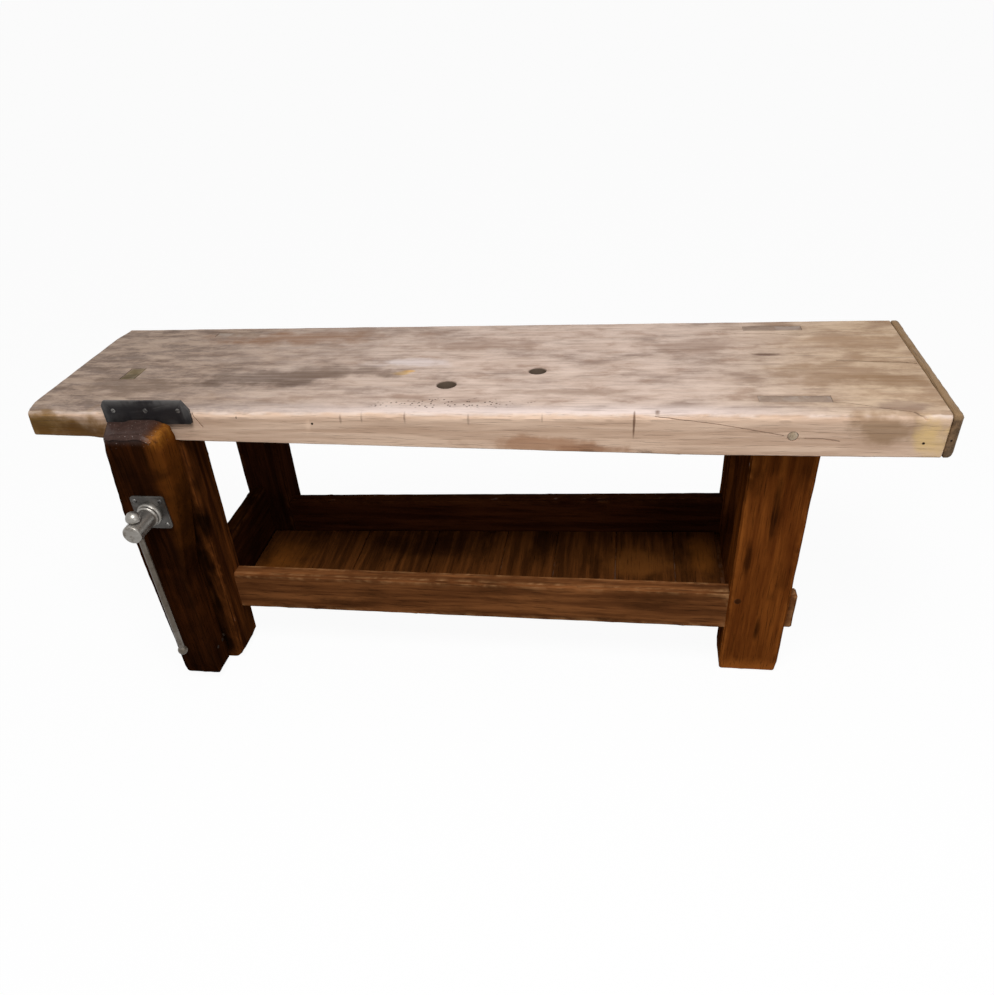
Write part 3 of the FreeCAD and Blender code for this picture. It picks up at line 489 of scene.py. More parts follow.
def varnished_wood(name, order, deep, warm, rub, bare_above=None, marks=()):
    finish, tree, shader, place = new_finish(name)
    way = reordered(tree, place, order)
    grain = wood_grain(tree, way)
    tint = mixed(tree, grain["Streaks"], deep, warm)
    tint = washed(tree, tint, grain["Figure"], 0.35, deep)
    stain = patches(tree, stretched(tree, way, 0.8, 2.4), scale=6.0, low=0.48, high=0.70)
    tint = washed(tree, tint, stain, 0.7, mixed(tree, 0.55, deep, colour(18, 9, 4)))
    edge = rubbed_edges(tree, place)
    tint = washed(tree, tint, edge, 0.75, rub)
    for centre, size, stain_tint in marks:
        mask = spot(tree, place, centre, size, ragged=0.5)
        tint = washed(tree, tint, mask, spread(tree, grain["Streaks"], 0.95, 0.65), stain_tint)
    tint = washed(tree, tint, grain["Pores"], 0.5, colour(20, 10, 5))
    gloss = spread(tree, stain, 0.30, 0.50)
    if bare_above is not None:
        bare = step_along(tree, place, "Z", bare_above - 0.002, bare_above)
        end_grain = mixed(tree, grain["Streaks"], colour(146, 126, 112), colour(158, 138, 122))
        tint = mixed(tree, bare, tint, end_grain)
        gloss = mixed(tree, bare, gloss, (0.6, 0.6, 0.6, 1.0))
    feed(tree, shader["Base Color"], tint)
    feed(tree, shader["Roughness"], gloss)
    feed(tree, shader["Coat Weight"], times(tree, rise(tree, edge, 0.45, 0.95), 0.45))
    shader["Coat Roughness"].default_value = 0.28
    shader["Specular IOR Level"].default_value = 0.0
    grain_relief(tree, shader, grain, strength=0.35, depth=0.0012)
    return finish


print("recipe ready")

# %% [markdown]
# The posts, rails and boards now get their own pairs of colours. One finish for the whole base would
# look cast, because the real pieces differ. The back left leg and the back rail are much darker, as
# painted shade under the top. Single marks are placed by pixel again: dark streaks and a rubbed foot
# on the right front leg, painted shadow in the gap between the chop and the leg of the vise, with a
# lighter patch by that leg's right arris, and lighter and darker places on the shelf.

# %% Finishes of the base
TENONS_BARE_ABOVE = 0.72
LEG_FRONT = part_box("front_right_leg")[0].y

# Marks: place, size along x, y and z, colour
LEG_MARKS = (
    (seen_at(757, 629, 1, LEG_FRONT), (0.010, 0.05, 0.045), colour(38, 17, 6)),
    (seen_at(748, 560, 1, LEG_FRONT), (0.012, 0.05, 0.075), colour(52, 24, 8)),
    (seen_at(775, 515, 1, LEG_FRONT), (0.010, 0.05, 0.110), colour(50, 23, 8)),
    ((0.705, LEG_FRONT, 0.0), (0.30, 0.5, 0.055), colour(158, 90, 36)),
)
post_wood = varnished_wood("varnished_post", "ZXY", colour(90, 44, 15), colour(134, 74, 28),
                           colour(158, 92, 38), TENONS_BARE_ABOVE, LEG_MARKS)
VISE_LEG_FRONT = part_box("vise_leg")[0].y
# Painted shadow in the gap beside the chop: two dark patches on the leg's front and a dark line through
# these pixels, with a lighter patch by the leg's right arris
CHOP_GAP_SHADOW_LINE = ((197, 485), (203, 525), (209, 563), (217, 600), (228, 640))
VISE_LEG_GAP_SHADOW_AND_MARKS = (
    ((-0.704, VISE_LEG_FRONT, 0.24), (0.060, 0.05, 0.36), colour(16, 7, 3)),
    ((-0.700, VISE_LEG_FRONT, 0.48), (0.066, 0.05, 0.20), colour(18, 8, 3)),
    (seen_at(213, 500, 1, VISE_LEG_FRONT), (0.020, 0.05, 0.16), colour(120, 64, 26)),
) + tuple((seen_at(u, v, 1, VISE_LEG_FRONT), (0.017, 0.05, 0.060), colour(13, 6, 3)) for u, v in CHOP_GAP_SHADOW_LINE)
vise_leg_wood = varnished_wood("varnished_vise_leg", "ZXY", colour(52, 25, 10), colour(104, 57, 24),
                               colour(146, 84, 38), TENONS_BARE_ABOVE, VISE_LEG_GAP_SHADOW_AND_MARKS)
brown_post_wood = varnished_wood("varnished_brown_post", "ZXY", colour(68, 33, 13), colour(124, 68, 29),
                                 colour(140, 80, 35), TENONS_BARE_ABOVE)
# Painted shade: the back left leg gets much darker colours for the shade under the top
shaded_post_wood = varnished_wood("varnished_post_painted_shade", "ZXY", colour(40, 18, 9), colour(72, 37, 18),
                                colour(112, 64, 28), TENONS_BARE_ABOVE)
# The pale rub colour is partly worn edges and partly a painted highlight along the rails' arrises
rail_wood = varnished_wood("varnished_rail", "XYZ", colour(90, 52, 27), colour(138, 86, 48),
                           colour(196, 146, 98))
# Painted shade: the back rail gets much darker colours for the shade under the top
shaded_rail_wood = varnished_wood("varnished_rail_painted_shade", "XYZ", colour(50, 22, 10), colour(82, 42, 20),
                                colour(104, 60, 30))
SHELF_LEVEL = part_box("shelf_board_4")[1].z
SHELF_MARKS = (
    (seen_at(283, 553, 2, SHELF_LEVEL), (0.11, 0.16, 0.05), colour(134, 78, 30)),
    (seen_at(420, 541, 2, SHELF_LEVEL), (0.24, 0.10, 0.05), colour(44, 22, 9)),
    (seen_at(545, 540, 2, SHELF_LEVEL), (0.05, 0.14, 0.05), colour(48, 25, 10)),
    (seen_at(640, 565, 2, SHELF_LEVEL), (0.12, 0.10, 0.05), colour(124, 74, 32)),
    (seen_at(701, 556, 2, SHELF_LEVEL), (0.05, 0.16, 0.05), colour(134, 78, 30)),
)
shelf_wood = varnished_wood("varnished_shelf", "YXZ", colour(70, 38, 16), colour(116, 67, 30),
                            colour(100, 58, 26), marks=SHELF_MARKS)
cross_wood = varnished_wood("varnished_cross_rail", "YXZ", colour(40, 18, 8), colour(72, 37, 16),
                            colour(112, 66, 30))
print("varnished finishes:", [m.name for m in bpy.data.materials if m.name.startswith("varnished")])

# %% [markdown]
# ## The chop's wood
# The chop is the vise's front jaw. It has the darkest varnish and a purple-brown top where its end
# grain is bruised. Pale specks along its front arris are painted glints, and its right part and
# upper right corner are lit orange by a painted highlight. It could share the posts' finish, but the
# bruised top is what one sees first, so it gets its own recipe.

# %% Chop wood
CHOP_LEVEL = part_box("vise_chop")[1].z
CHOP_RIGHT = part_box("vise_chop")[1].x


def chop_wood_finish():
    finish, tree, shader, place = new_finish("chop_wood")
    grain = wood_grain(tree, reordered(tree, place, "ZXY"))
    tint = mixed(tree, grain["Streaks"], colour(29, 13, 5), colour(62, 30, 11))
    # Painted highlight: the right part of the chop turns orange, and its top is less bruised there
    warm = step_along(tree, place, "X", CHOP_RIGHT - 0.055, CHOP_RIGHT - 0.010)
    tint = washed(tree, tint, warm, 0.5, colour(120, 66, 22))
    stain = patches(tree, place, scale=7.0, low=0.46, high=0.66)
    tint = washed(tree, tint, stain, 0.6, colour(26, 12, 5))
    edge = rubbed_edges(tree, place)
    tint = washed(tree, tint, edge, 0.5, colour(104, 58, 24))
    high = step_along(tree, place, "Z", CHOP_LEVEL - 0.030, CHOP_LEVEL - 0.006)
    bruised = mixed(tree, noise(tree, place, 60.0, 5.0), colour(38, 25, 22), colour(84, 63, 56))
    not_warm = calc(tree, "SUBTRACT", 1.0, times(tree, warm, 0.8))
    tint = washed(tree, tint, high, not_warm, bruised)
    # Painted glints: pale specks near the top, along the front arris
    glint_speck = rise(tree, noise(tree, place, 210.0, 3.0, 0.7), 0.65, 0.72)
    near_top = step_along(tree, place, "Z", CHOP_LEVEL - 0.045, CHOP_LEVEL - 0.012)
    tint = washed(tree, tint, glint_speck, near_top, colour(178, 164, 156))
    # Painted highlight: an amber upper right corner
    corner = step_along(tree, place, "X", CHOP_RIGHT - 0.034, CHOP_RIGHT - 0.014)
    amber_highlight = mixed(tree, grain["Streaks"], colour(110, 62, 18), colour(164, 104, 36))
    tint = washed(tree, tint, times(tree, corner, near_top), 0.7, amber_highlight)
    tint = washed(tree, tint, grain["Pores"], 0.5, colour(16, 8, 4))
    feed(tree, shader["Base Color"], tint)
    feed(tree, shader["Roughness"], spread(tree, stain, 0.30, 0.50))
    feed(tree, shader["Coat Weight"], times(tree, high, 0.22))
    shader["Coat Roughness"].default_value = 0.30
    shader["Specular IOR Level"].default_value = 0.0
    grain_relief(tree, shader, grain, strength=0.5, depth=0.0015)
    return finish


chop_wood = chop_wood_finish()
print("finish:", chop_wood.name)

# %% [markdown]
# ## Small woods and metals
# The end cap and the planing stop are grey and oily with age. The screw and its bar are bare steel
# with fine turning marks, duller where rust has been at them. The flange, nut and nails are dark
# iron, and the jaw plate is nearly black, a little brighter at its corners. One recipe makes all the
# metals, with its own colours and roughness each time.

# %% Aged wood and metals

def aged_wood(name, order, deep, light, pale_above=None):
    finish, tree, shader, place = new_finish(name)
    grain = wood_grain(tree, reordered(tree, place, order))
    tint = mixed(tree, grain["Streaks"], deep, light)
    dirt = patches(tree, place, scale=14.0, low=0.45, high=0.65)
    tint = washed(tree, tint, dirt, 0.5, deep)
    edge = rubbed_edges(tree, place)
    rubbed = mixed(tree, 0.5, light, colour(190, 168, 148))
    tint = washed(tree, tint, edge, 0.5, rubbed)
    if pale_above is not None:
        upper = step_along(tree, place, "Z", pale_above - 0.006, pale_above)
        tint = washed(tree, tint, upper, 0.7, colour(152, 122, 88))
    tint = washed(tree, tint, grain["Pores"], 0.5, colour(34, 26, 20))
    feed(tree, shader["Base Color"], tint)
    feed(tree, shader["Roughness"], spread(tree, dirt, 0.5, 0.72))
    shader["Specular IOR Level"].default_value = 0.12
    grain_relief(tree, shader, grain, strength=0.4, depth=0.001)
    return finish


def worked_metal(name, bright, dull, spoiled, smooth, rough, metallic, specular=0.5, shine=0.6):
    finish, tree, shader, place = new_finish(name)
    lines = noise(tree, stretched(tree, place, 40.0, 900.0), 1.0, 3.0)
    tint = mixed(tree, lines, dull, bright)
    rust = patches(tree, place, scale=55.0, low=0.52, high=0.70)
    tint = washed(tree, tint, rust, 0.6, spoiled)
    edge = rubbed_edges(tree, place, low=0.52, high=0.60)
    polished = mixed(tree, shine, bright, colour(220, 216, 210))
    tint = washed(tree, tint, edge, 0.6, polished)
    feed(tree, shader["Base Color"], tint)
    feed(tree, shader["Roughness"], spread(tree, rust, smooth, rough))
    shader["Metallic"].default_value = metallic
    shader["Specular IOR Level"].default_value = specular
    raised(tree, shader, calc(tree, "ADD", lines, rust), strength=0.25, depth=0.0005)
    return finish


cap_wood = aged_wood("aged_cap_wood", "YXZ", colour(86, 66, 46), colour(136, 107, 79), TOP_LEVEL - 0.008)
stop_wood = aged_wood("aged_stop_wood", "XYZ", colour(86, 73, 52), colour(130, 112, 82))
steel = worked_metal("worn_screw_steel", colour(164, 160, 154), colour(116, 111, 104), colour(86, 72, 58),
                     smooth=0.36, rough=0.58, metallic=0.9)
bar_steel = worked_metal("worn_bar_steel", colour(110, 100, 88), colour(70, 62, 53), colour(66, 50, 38),
                         smooth=0.42, rough=0.64, metallic=0.75)
iron = worked_metal("dark_iron", colour(62, 57, 53), colour(36, 33, 30), colour(54, 37, 25),
                    smooth=0.44, rough=0.70, metallic=0.55)
rusty_iron = worked_metal("rusty_iron", colour(52, 40, 32), colour(34, 25, 19), colour(60, 38, 22),
                          smooth=0.60, rough=0.80, metallic=0.1, specular=0.05, shine=0.0)
plate_metal = worked_metal("black_plate", colour(44, 41, 42), colour(24, 22, 23), colour(34, 28, 26),
                           smooth=0.50, rough=0.68, metallic=0.1, specular=0.16, shine=0.25)
screw_metal = worked_metal("plate_screw_metal", colour(84, 81, 79), colour(48, 46, 45),
                           colour(56, 49, 44), smooth=0.38, rough=0.6, metallic=0.8)
print("metals:", [m.name for m in (steel, bar_steel, iron, rusty_iron, plate_metal, screw_metal)])

# %% [markdown]
# ## Hand tools
# A board starts as a cube of its size. An operator acts on all that is selected, so each helper
# first selects what it means: one piece, or in edit mode the points and edges that pass a test by
# their place. Points are then moved, alone or with their neighbours.

# %% Select and move
TINY = 0.0005


def only(piece):
    bpy.ops.object.select_all(action="DESELECT")
    piece.select_set(True)
    bpy.context.view_layer.objects.active = piece


def editing(piece):
    only(piece)
    bpy.ops.object.mode_set(mode="EDIT")


def finished_editing():
    bpy.ops.object.mode_set(mode="OBJECT")


def block(name, low, high):
    """A cube at a size and place, with its place in its mesh."""
    low = Vector(low)
    high = Vector(high)
    bpy.ops.object.select_all(action="DESELECT")
    bpy.ops.mesh.primitive_cube_add(size=1, location=(low + high) / 2, scale=high - low)
    piece = bpy.context.active_object
    piece.name = name
    bpy.ops.object.transform_apply(location=True, rotation=True, scale=True)
    return piece


def pick(piece, kind, test):
    """In edit mode, select the points, edges or faces that pass a test."""
    bpy.ops.mesh.select_mode(type=kind)
    bpy.ops.mesh.select_all(action="DESELECT")
    shape = bmesh.from_edit_mesh(piece.data)
    for part in {"VERT": shape.verts, "EDGE": shape.edges, "FACE": shape.faces}[kind]:
        if test(part):
            part.select_set(True)
    bmesh.update_edit_mesh(piece.data)


def middle(part):
    return sum((point.co for point in part.verts), Vector()) / len(part.verts)


def shift(piece, test, move, reach=0.0):
    """Move the points that pass a test, and with a reach also their neighbours, less and less."""
    editing(piece)
    pick(piece, "VERT", lambda point: test(point.co))
    if reach:
        bpy.ops.transform.translate(value=move, use_proportional_edit=True,
                                    proportional_edit_falloff="SMOOTH", proportional_size=reach)
    else:
        bpy.ops.transform.translate(value=move)
    finished_editing()


print("select and move ready")

# %% [markdown]
# ## Cuts and rounded edges
# A board gets its edges rounded and is then cut crosswise many times, so that wear has points to
# move. A loop cut needs a window, so a single cut is a bisection with a plane, and many cuts come
# from dividing all the edges that run one way.

# %% Cut and round

def loop_at(piece, axis, level):
    """A cut all round a piece, where x, y or z has a level."""
    editing(piece)
    bpy.ops.mesh.select_all(action="SELECT")
    normal = Vector((0, 0, 0))
    normal[axis] = 1
    bpy.ops.mesh.bisect(plane_co=normal * level, plane_no=normal)
    finished_editing()


def round_edges(piece, size, segments=3, test=lambda place: True):
    """Round the sharp edges of a piece, or those of them that pass a test."""
    editing(piece)
    pick(piece, "EDGE", lambda edge: edge.calc_face_angle(0) > 0.6 and test(middle(edge)))
    bpy.ops.mesh.bevel(offset=size, segments=segments, affect="EDGES")
    finished_editing()


def same_run(edge, axis, run):
    """Whether an edge covers about the same stretch of an axis as a run of edges."""
    low, high = sorted(point.co[axis] for point in edge.verts)
    shared = min(high, run[1]) - max(low, run[0])
    return shared > 0.8 * max(high - low, run[1] - run[0])


def cut_along(piece, axis, step):
    """Cut a piece crosswise about every step along an axis."""
    editing(piece)
    shape = bmesh.from_edit_mesh(piece.data)
    runs = []
    for edge in shape.edges:
        low, high = sorted(point.co[axis] for point in edge.verts)
        along = high - low > 0.9 * edge.calc_length() and high - low > 1.6 * step
        if along and not any(same_run(edge, axis, run) for run in runs):
            runs.append((low, high))
    for run in runs:
        pick(piece, "EDGE", lambda edge: same_run(edge, axis, run))
        bpy.ops.mesh.subdivide(number_cuts=int((run[1] - run[0]) / step))
    finished_editing()


def cut_all_ways(piece, step):
    for axis in range(3):
        cut_along(piece, axis, step)


print("cut and round ready")

# %% [markdown]
# ## Wear, and handing a piece over
# Wear is a Displace modifier with a cloud texture. It could push both ways, but here it only ever
# takes wood away, so that no piece grows past its solid. A finished piece gets its finish and the
# body that it moves with, and the solids that it stands for are hidden.

# %% Wear and hand over
SMOOTH_UNDER = math.radians(38)


def modified(piece, kind, **settings):
    """Add a modifier, set it and apply it."""
    only(piece)
    bpy.ops.object.modifier_add(type=kind)
    change = piece.modifiers[-1]
    for name, value in settings.items():
        setattr(change, name, value)
    bpy.ops.object.modifier_apply(modifier=change.name)


def worn(piece, depth, size, arris_depth=0.0, arris_size=0.02):
    """Hollow a piece softly all over, and nick its rounded edges."""
    hollows = bpy.data.textures.new(piece.name + "_hollows", "CLOUDS")
    hollows.noise_scale = size
    modified(piece, "DISPLACE", texture=hollows, strength=-depth, mid_level=0.0, texture_coords="LOCAL")
    if arris_depth:
        nicks = bpy.data.textures.new(piece.name + "_nicks", "CLOUDS")
        nicks.noise_scale = arris_size
        nicks.contrast = 2.0
        editing(piece)
        pick(piece, "VERT", lambda point: max(abs(value) for value in point.normal) < 0.96)
        bpy.ops.object.vertex_group_assign_new()
        finished_editing()
        modified(piece, "DISPLACE", texture=nicks, strength=-arris_depth, mid_level=0.0,
                 texture_coords="LOCAL", vertex_group=piece.vertex_groups[-1].name)
        piece.vertex_groups.clear()


def cut_out(piece, cutters):
    """Take the cutters' shapes out of a piece, and throw the cutters away."""
    for cutter in cutters:
        modified(piece, "BOOLEAN", object=cutter, operation="DIFFERENCE", solver="EXACT")
        bpy.data.objects.remove(cutter)


def settle(piece, finish, body, slot, *nodes):
    """Give a finished piece its finish and its body, and hide the solids it stands for, if any."""
    only(piece)
    bpy.ops.object.shade_smooth_by_angle(angle=SMOOTH_UNDER)
    piece.data.materials.clear()
    piece.data.materials.append(finish)
    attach(piece, body)
    if nodes:
        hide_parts(*nodes)
    print(piece.name, "on", body, "with", len(piece.data.polygons), "faces, size",
          [round(v, 3) for v in piece.dimensions])


def hand_worn_board(name, low, high, rounding, step, depth, arris_depth, segments=3, size=0.06):
    """A board between two corners, rounded, cut up finely and worn."""
    piece = block(name, low, high)
    round_edges(piece, rounding, segments)
    cut_all_ways(piece, step)
    worn(piece, depth, size, arris_depth)
    return piece


print("wear and hand over ready")

# %% [markdown]
# ## Turned pieces
# Screws, pegs, knobs and nails are all round about a line. One could scale cylinders, but their
# steps and round ends are easier to draw as half an outline, point by point, and to spin about the
# line. The first point comes from a small plane that is merged into one point, and each next point
# is extruded from the last. After the spin, doubles are merged and the faces turned outwards.

# %% Helpers for turned pieces

def drawn_line(name, points):
    """A line of edges through points in the bench's own frame."""
    bpy.ops.object.select_all(action="DESELECT")
    bpy.ops.mesh.primitive_plane_add(size=0.01, location=points[0])
    piece = bpy.context.active_object
    piece.name = name
    bpy.ops.object.transform_apply(location=True, rotation=True, scale=True)
    editing(piece)
    bpy.ops.mesh.select_mode(type="VERT")
    bpy.ops.mesh.select_all(action="SELECT")
    bpy.ops.mesh.merge(type="CENTER")
    for start, end in zip(points, points[1:]):
        bpy.ops.mesh.extrude_vertices_move(TRANSFORM_OT_translate={"value": Vector(end) - Vector(start)})
    finished_editing()
    return piece


def turned(name, base, axis, profile, sides=32):
    """Spin (radius, distance) points about a line that starts at base and runs along axis."""
    base = Vector(base)
    axis = Vector(axis)
    aside = axis.orthogonal().normalized()
    piece = drawn_line(name, [base + aside * radius + axis * away for radius, away in profile])
    editing(piece)
    bpy.ops.mesh.select_all(action="SELECT")
    bpy.ops.mesh.spin(steps=sides, angle=math.tau, center=base, axis=axis)
    bpy.ops.mesh.select_all(action="SELECT")
    bpy.ops.mesh.remove_doubles(threshold=0.00001)
    bpy.ops.mesh.normals_make_consistent(inside=False)
    finished_editing()
    return piece


def joined(name, pieces):
    bpy.ops.object.select_all(action="DESELECT")
    for piece in pieces:
        piece.select_set(True)
    bpy.context.view_layer.objects.active = pieces[0]
    if len(pieces) > 1:
        bpy.ops.object.join()
    pieces[0].name = name
    return pieces[0]


def copy_at(piece, move):
    """A copy with its own mesh, moved from where the first one is."""
    only(piece)
    bpy.ops.object.duplicate(linked=False)
    bpy.ops.transform.translate(value=move)
    bpy.ops.object.transform_apply(location=True, rotation=True, scale=True)
    return bpy.context.active_object


def turned_row(name, outline, sides, axis, places):
    """Turn one piece at the first place, and copy it to the other places."""
    first = turned(name, places[0], axis, outline, sides)
    return [first] + [copy_at(first, Vector(place) - Vector(places[0])) for place in places[1:]]


def bore_outline(radius, start, end):
    """Half the outline of a straight round hole."""
    return [(0, start), (radius, start), (radius, end), (0, end)]


def arc_points(radius, height, base, angles):
    """Points on part of an ellipse about a line, by their angles in degrees."""
    return [(radius * math.cos(math.radians(a)), base + height * math.sin(math.radians(a))) for a in angles]


print("turning tools ready")

# %% [markdown]
# ## The top
# The top is one slab, thicker on the right. It starts as a cube with one extra cut where its
# underside begins to slope, and its left lower edge is lifted. The front upper arris gets a wide
# round and the others a small one. The left corners are worn back, and under the front left edge
# the bark side of the log shows as a hollow.

# %% Shape the slab
SLOPE_FROM = 0.509
LEFT_LIFT = 0.028
FRONT_ROUND = 0.013
SMALL_ROUND = 0.003
SLAB_STEPS = (0.011, 0.013, 0.010)
low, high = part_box("bench_top")
top = block("worn_top", low, high)
loop_at(top, 0, SLOPE_FROM)
shift(top, lambda p: p.x < low.x + TINY and p.z < low.z + TINY, (0, 0, LEFT_LIFT))
round_edges(top, FRONT_ROUND, 5, lambda m: m.y < low.y + TINY and m.z > high.z - TINY)
round_edges(top, SMALL_ROUND, 2)
for axis, step in enumerate(SLAB_STEPS):
    cut_along(top, axis, step)
shift(top, lambda p: p.x < low.x + 0.004 and p.y < low.y + 0.006 and p.z > high.z - 0.008,
      (0.010, 0, 0), 0.050)
shift(top, lambda p: p.x < low.x + 0.004 and p.y > high.y - 0.006, (0.009, 0, 0), 0.075)
shift(top, lambda p: p.x < -0.86 and p.y < low.y + 0.004 and p.z < low.z + LEFT_LIFT + 0.012,
      (0, 0.007, 0), 0.045)
worn(top, depth=0.0014, size=0.055, arris_depth=0.0035, arris_size=0.016)
print("slab:", len(top.data.polygons), "faces")

# %% [markdown]
# ## Cracks
# Old drying cracks run in from the right end and along the front edge. They could be painted on, but
# a real groove keeps its shadow when the model is turned. A crack is a line drawn through the pixels
# where it is seen, pulled down into the wood and given a little thickness.

# %% Draw the cracks
CRACK_START = 0.004
TOP_CRACK_DEPTH = 0.012
FRONT_CRACK_DEPTH = 0.010

# Cracks: width in metres, and the pixels they run through
TOP_CRACKS = (
    (0.0050, ((836, 360.0), (858, 360.6), (880, 361.4), (900, 361.8), (917, 363.0))),
    (0.0024, ((834, 401.5), (852, 403.0), (882, 407.5), (910, 411.0), (934, 415.5))),
    (0.0030, ((716, 331.0), (742, 333.5), (770, 333.0), (800, 335.5))),
)
FRONT_CRACKS = (
    (0.0016, ((655, 417.5), (690, 421.0), (715, 424.0), (751, 430.0), (784, 436.0))),
    (0.0016, ((804, 438.5), (822, 439.0), (840, 441.5))),
    (0.0028, ((191, 414.0), (197, 420.5), (203, 427.5))),
)


def crack_cutter(pixels, axis, level, width, depth):
    """A thin wall along a crack, from just outside the face down to the crack's depth."""
    points = [seen_at(u, v, axis, level) for u, v in pixels]
    out = Vector((0, 0, 0))
    out[axis] = CRACK_START if axis == 2 else -CRACK_START
    cutter = drawn_line("crack", [point + out for point in points])
    editing(cutter)
    bpy.ops.mesh.select_all(action="SELECT")
    bpy.ops.mesh.extrude_region_move(TRANSFORM_OT_translate={"value": -out * (1 + depth / CRACK_START)})
    finished_editing()
    modified(cutter, "SOLIDIFY", thickness=width, offset=0.0)
    return cutter


crack_cutters = [crack_cutter(pixels, 2, TOP_LEVEL, width, TOP_CRACK_DEPTH) for width, pixels in TOP_CRACKS]
crack_cutters += [crack_cutter(pixels, 1, TOP_FRONT, width, FRONT_CRACK_DEPTH)
                  for width, pixels in FRONT_CRACKS]
print("cracks:", len(crack_cutters))

# %% [markdown]
# ## Holes and mortises in the top
# Two round holes take holdfasts, a square one the planing stop, and three long ones the tenons of
# the legs. The pegs need holes in the edges. Each could be modelled into the slab's own faces, but
# wear comes first, so all of them and the cracks are taken out with Boolean modifiers.

# %% Cut the top
# Holdfast holes: x, y and radius
HOLDFAST_HOLES = ((-0.034, -0.014, 0.0215), (0.165, 0.061, 0.019))
MORTISE_UNDER = 0.6
MORTISE_TOP = 0.8

# Tenons of the legs: front and back
TENONS = {
    "front_right_leg": (-0.103, -0.072),
    "back_left_leg": (0.297, 0.328),
    "back_right_leg": (0.297, 0.328),
}
PEG_RADIUS = 0.010
PEG_LEVEL = 0.697

# Pegs: x, y and the way that they are driven
TOP_PEGS = ((0.698, TOP_FRONT, 1), (-0.723, TOP_FRONT, 1), (-0.658, TOP_BACK, -1), (0.706, TOP_BACK, -1))
FIT = 0.0006

cutters = []
for x, y, radius in HOLDFAST_HOLES:
    flare = [(0, -0.12), (radius, -0.12), (radius, -0.005), (radius + 0.003, 0.0),
             (radius + 0.003, 0.01), (0, 0.01)]
    cutters.append(turned("hole", (x, y, TOP_LEVEL), (0, 0, 1), flare, 40))
stop_low, stop_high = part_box("planing_stop")
room = Vector((FIT, FIT, 0.02))
cutters.append(block("stop_hole", stop_low - room, stop_high + room))
for leg_name, (y0, y1) in TENONS.items():
    leg_low, leg_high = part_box(leg_name)
    cutters.append(block("mortise", (leg_low.x - FIT, y0 - FIT, MORTISE_UNDER),
                         (leg_high.x + FIT, y1 + FIT, MORTISE_TOP)))
peg_bore = bore_outline(PEG_RADIUS + FIT, -0.01, 0.04)
for x, y, inward in TOP_PEGS:
    cutters.append(turned("peg_hole", (x, y, PEG_LEVEL), (0, inward, 0), peg_bore, 24))
cut_out(top, cutters + crack_cutters)
settle(top, top_wood, "bench", "pale_wood", "bench_top")

# %% [markdown]
# ## End cap
# A batten closes the right end of the top, and years of hands have rounded all its outer edges. It
# is a block whose outer face is bevelled wide, in one go so that its corners meet, and the inner
# edges a little afterwards.

# %% Make the end cap
CAP_ROUND = 0.011
CAP_STEP = 0.012
low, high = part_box("top_end_cap")
cap = block("end_cap", low, high)
round_edges(cap, CAP_ROUND, 5, lambda m: m.x > high.x - TINY)
round_edges(cap, SMALL_ROUND, 2)
for axis in (1, 2):
    cut_along(cap, axis, CAP_STEP)
worn(cap, depth=0.0012, size=0.05, arris_depth=0.0012)
settle(cap, cap_wood, "bench", "grey_wood", "top_end_cap")

# %% [markdown]
# ## Legs
# The legs are square posts that stand on slightly bevelled feet. Three of them come right up
# through the top as tenons. A post is a block with a cut above its foot, which is drawn in a little.
# The tenon could be extruded from the post, but wear would leave it loose in its mortise, so it is a
# crisp block of its own that is joined to the worn post.

# %% Make the legs
POST_TOP = 0.685
FOOT_RISE = 0.034
FOOT_DRAWN_IN = 0.003
FOOT_ROUND = 0.030
VISE_LEG_TAPER = 0.011
TENON_OVERLAP = 0.010
TENON_BELOW_FACE = 0.0012


def post(name, node, taper=0.0):
    """A worn post with drawn-in feet and, where the leg has one, its tenon."""
    low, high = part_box(node)
    piece = block(name, low, (high.x, high.y, POST_TOP))
    loop_at(piece, 2, FOOT_RISE)
    if taper:
        shift(piece, lambda p: p.x > high.x - TINY and p.z < FOOT_RISE + TINY, (-taper, 0, 0))
    for axis in (0, 1):
        step = Vector((0, 0, 0))
        step[axis] = FOOT_DRAWN_IN
        halfway = low[axis] + (high[axis] - low[axis]) / 2
        shift(piece, lambda p: p.z < TINY and p[axis] < halfway, step)
        shift(piece, lambda p: p.z < TINY and p[axis] > halfway, -step)
    if taper:
        round_edges(piece, FOOT_ROUND, 6, lambda m: m.z < TINY and m.x > high.x - taper - 0.010)
    round_edges(piece, 0.005, 3, lambda m: m.z < POST_TOP - TINY)
    cut_all_ways(piece, 0.013)
    worn(piece, depth=0.0022, size=0.07, arris_depth=0.0035)
    if node in TENONS:
        y0, y1 = TENONS[node]
        tenon = block("tenon", (low.x, y0, POST_TOP - TENON_OVERLAP),
                      (high.x, y1, TOP_LEVEL - TENON_BELOW_FACE))
        round_edges(tenon, 0.0008, 2)
        piece = joined(name, [piece, tenon])
    return piece


for name, node, finish in (("leg_front_right", "front_right_leg", post_wood),
                           ("leg_back_left", "back_left_leg", shaded_post_wood),
                           ("leg_back_right", "back_right_leg", brown_post_wood)):
    settle(post(name, node), finish, "bench", "dark_wood", node)

# %% [markdown]
# ## The leg of the vise
# The left front leg is wider and carries the vise. The screw passes through it, and so does the
# guide bar at its foot. The round hole and the square slot are cut out with clearance, so that they
# show when the vise is wound open.

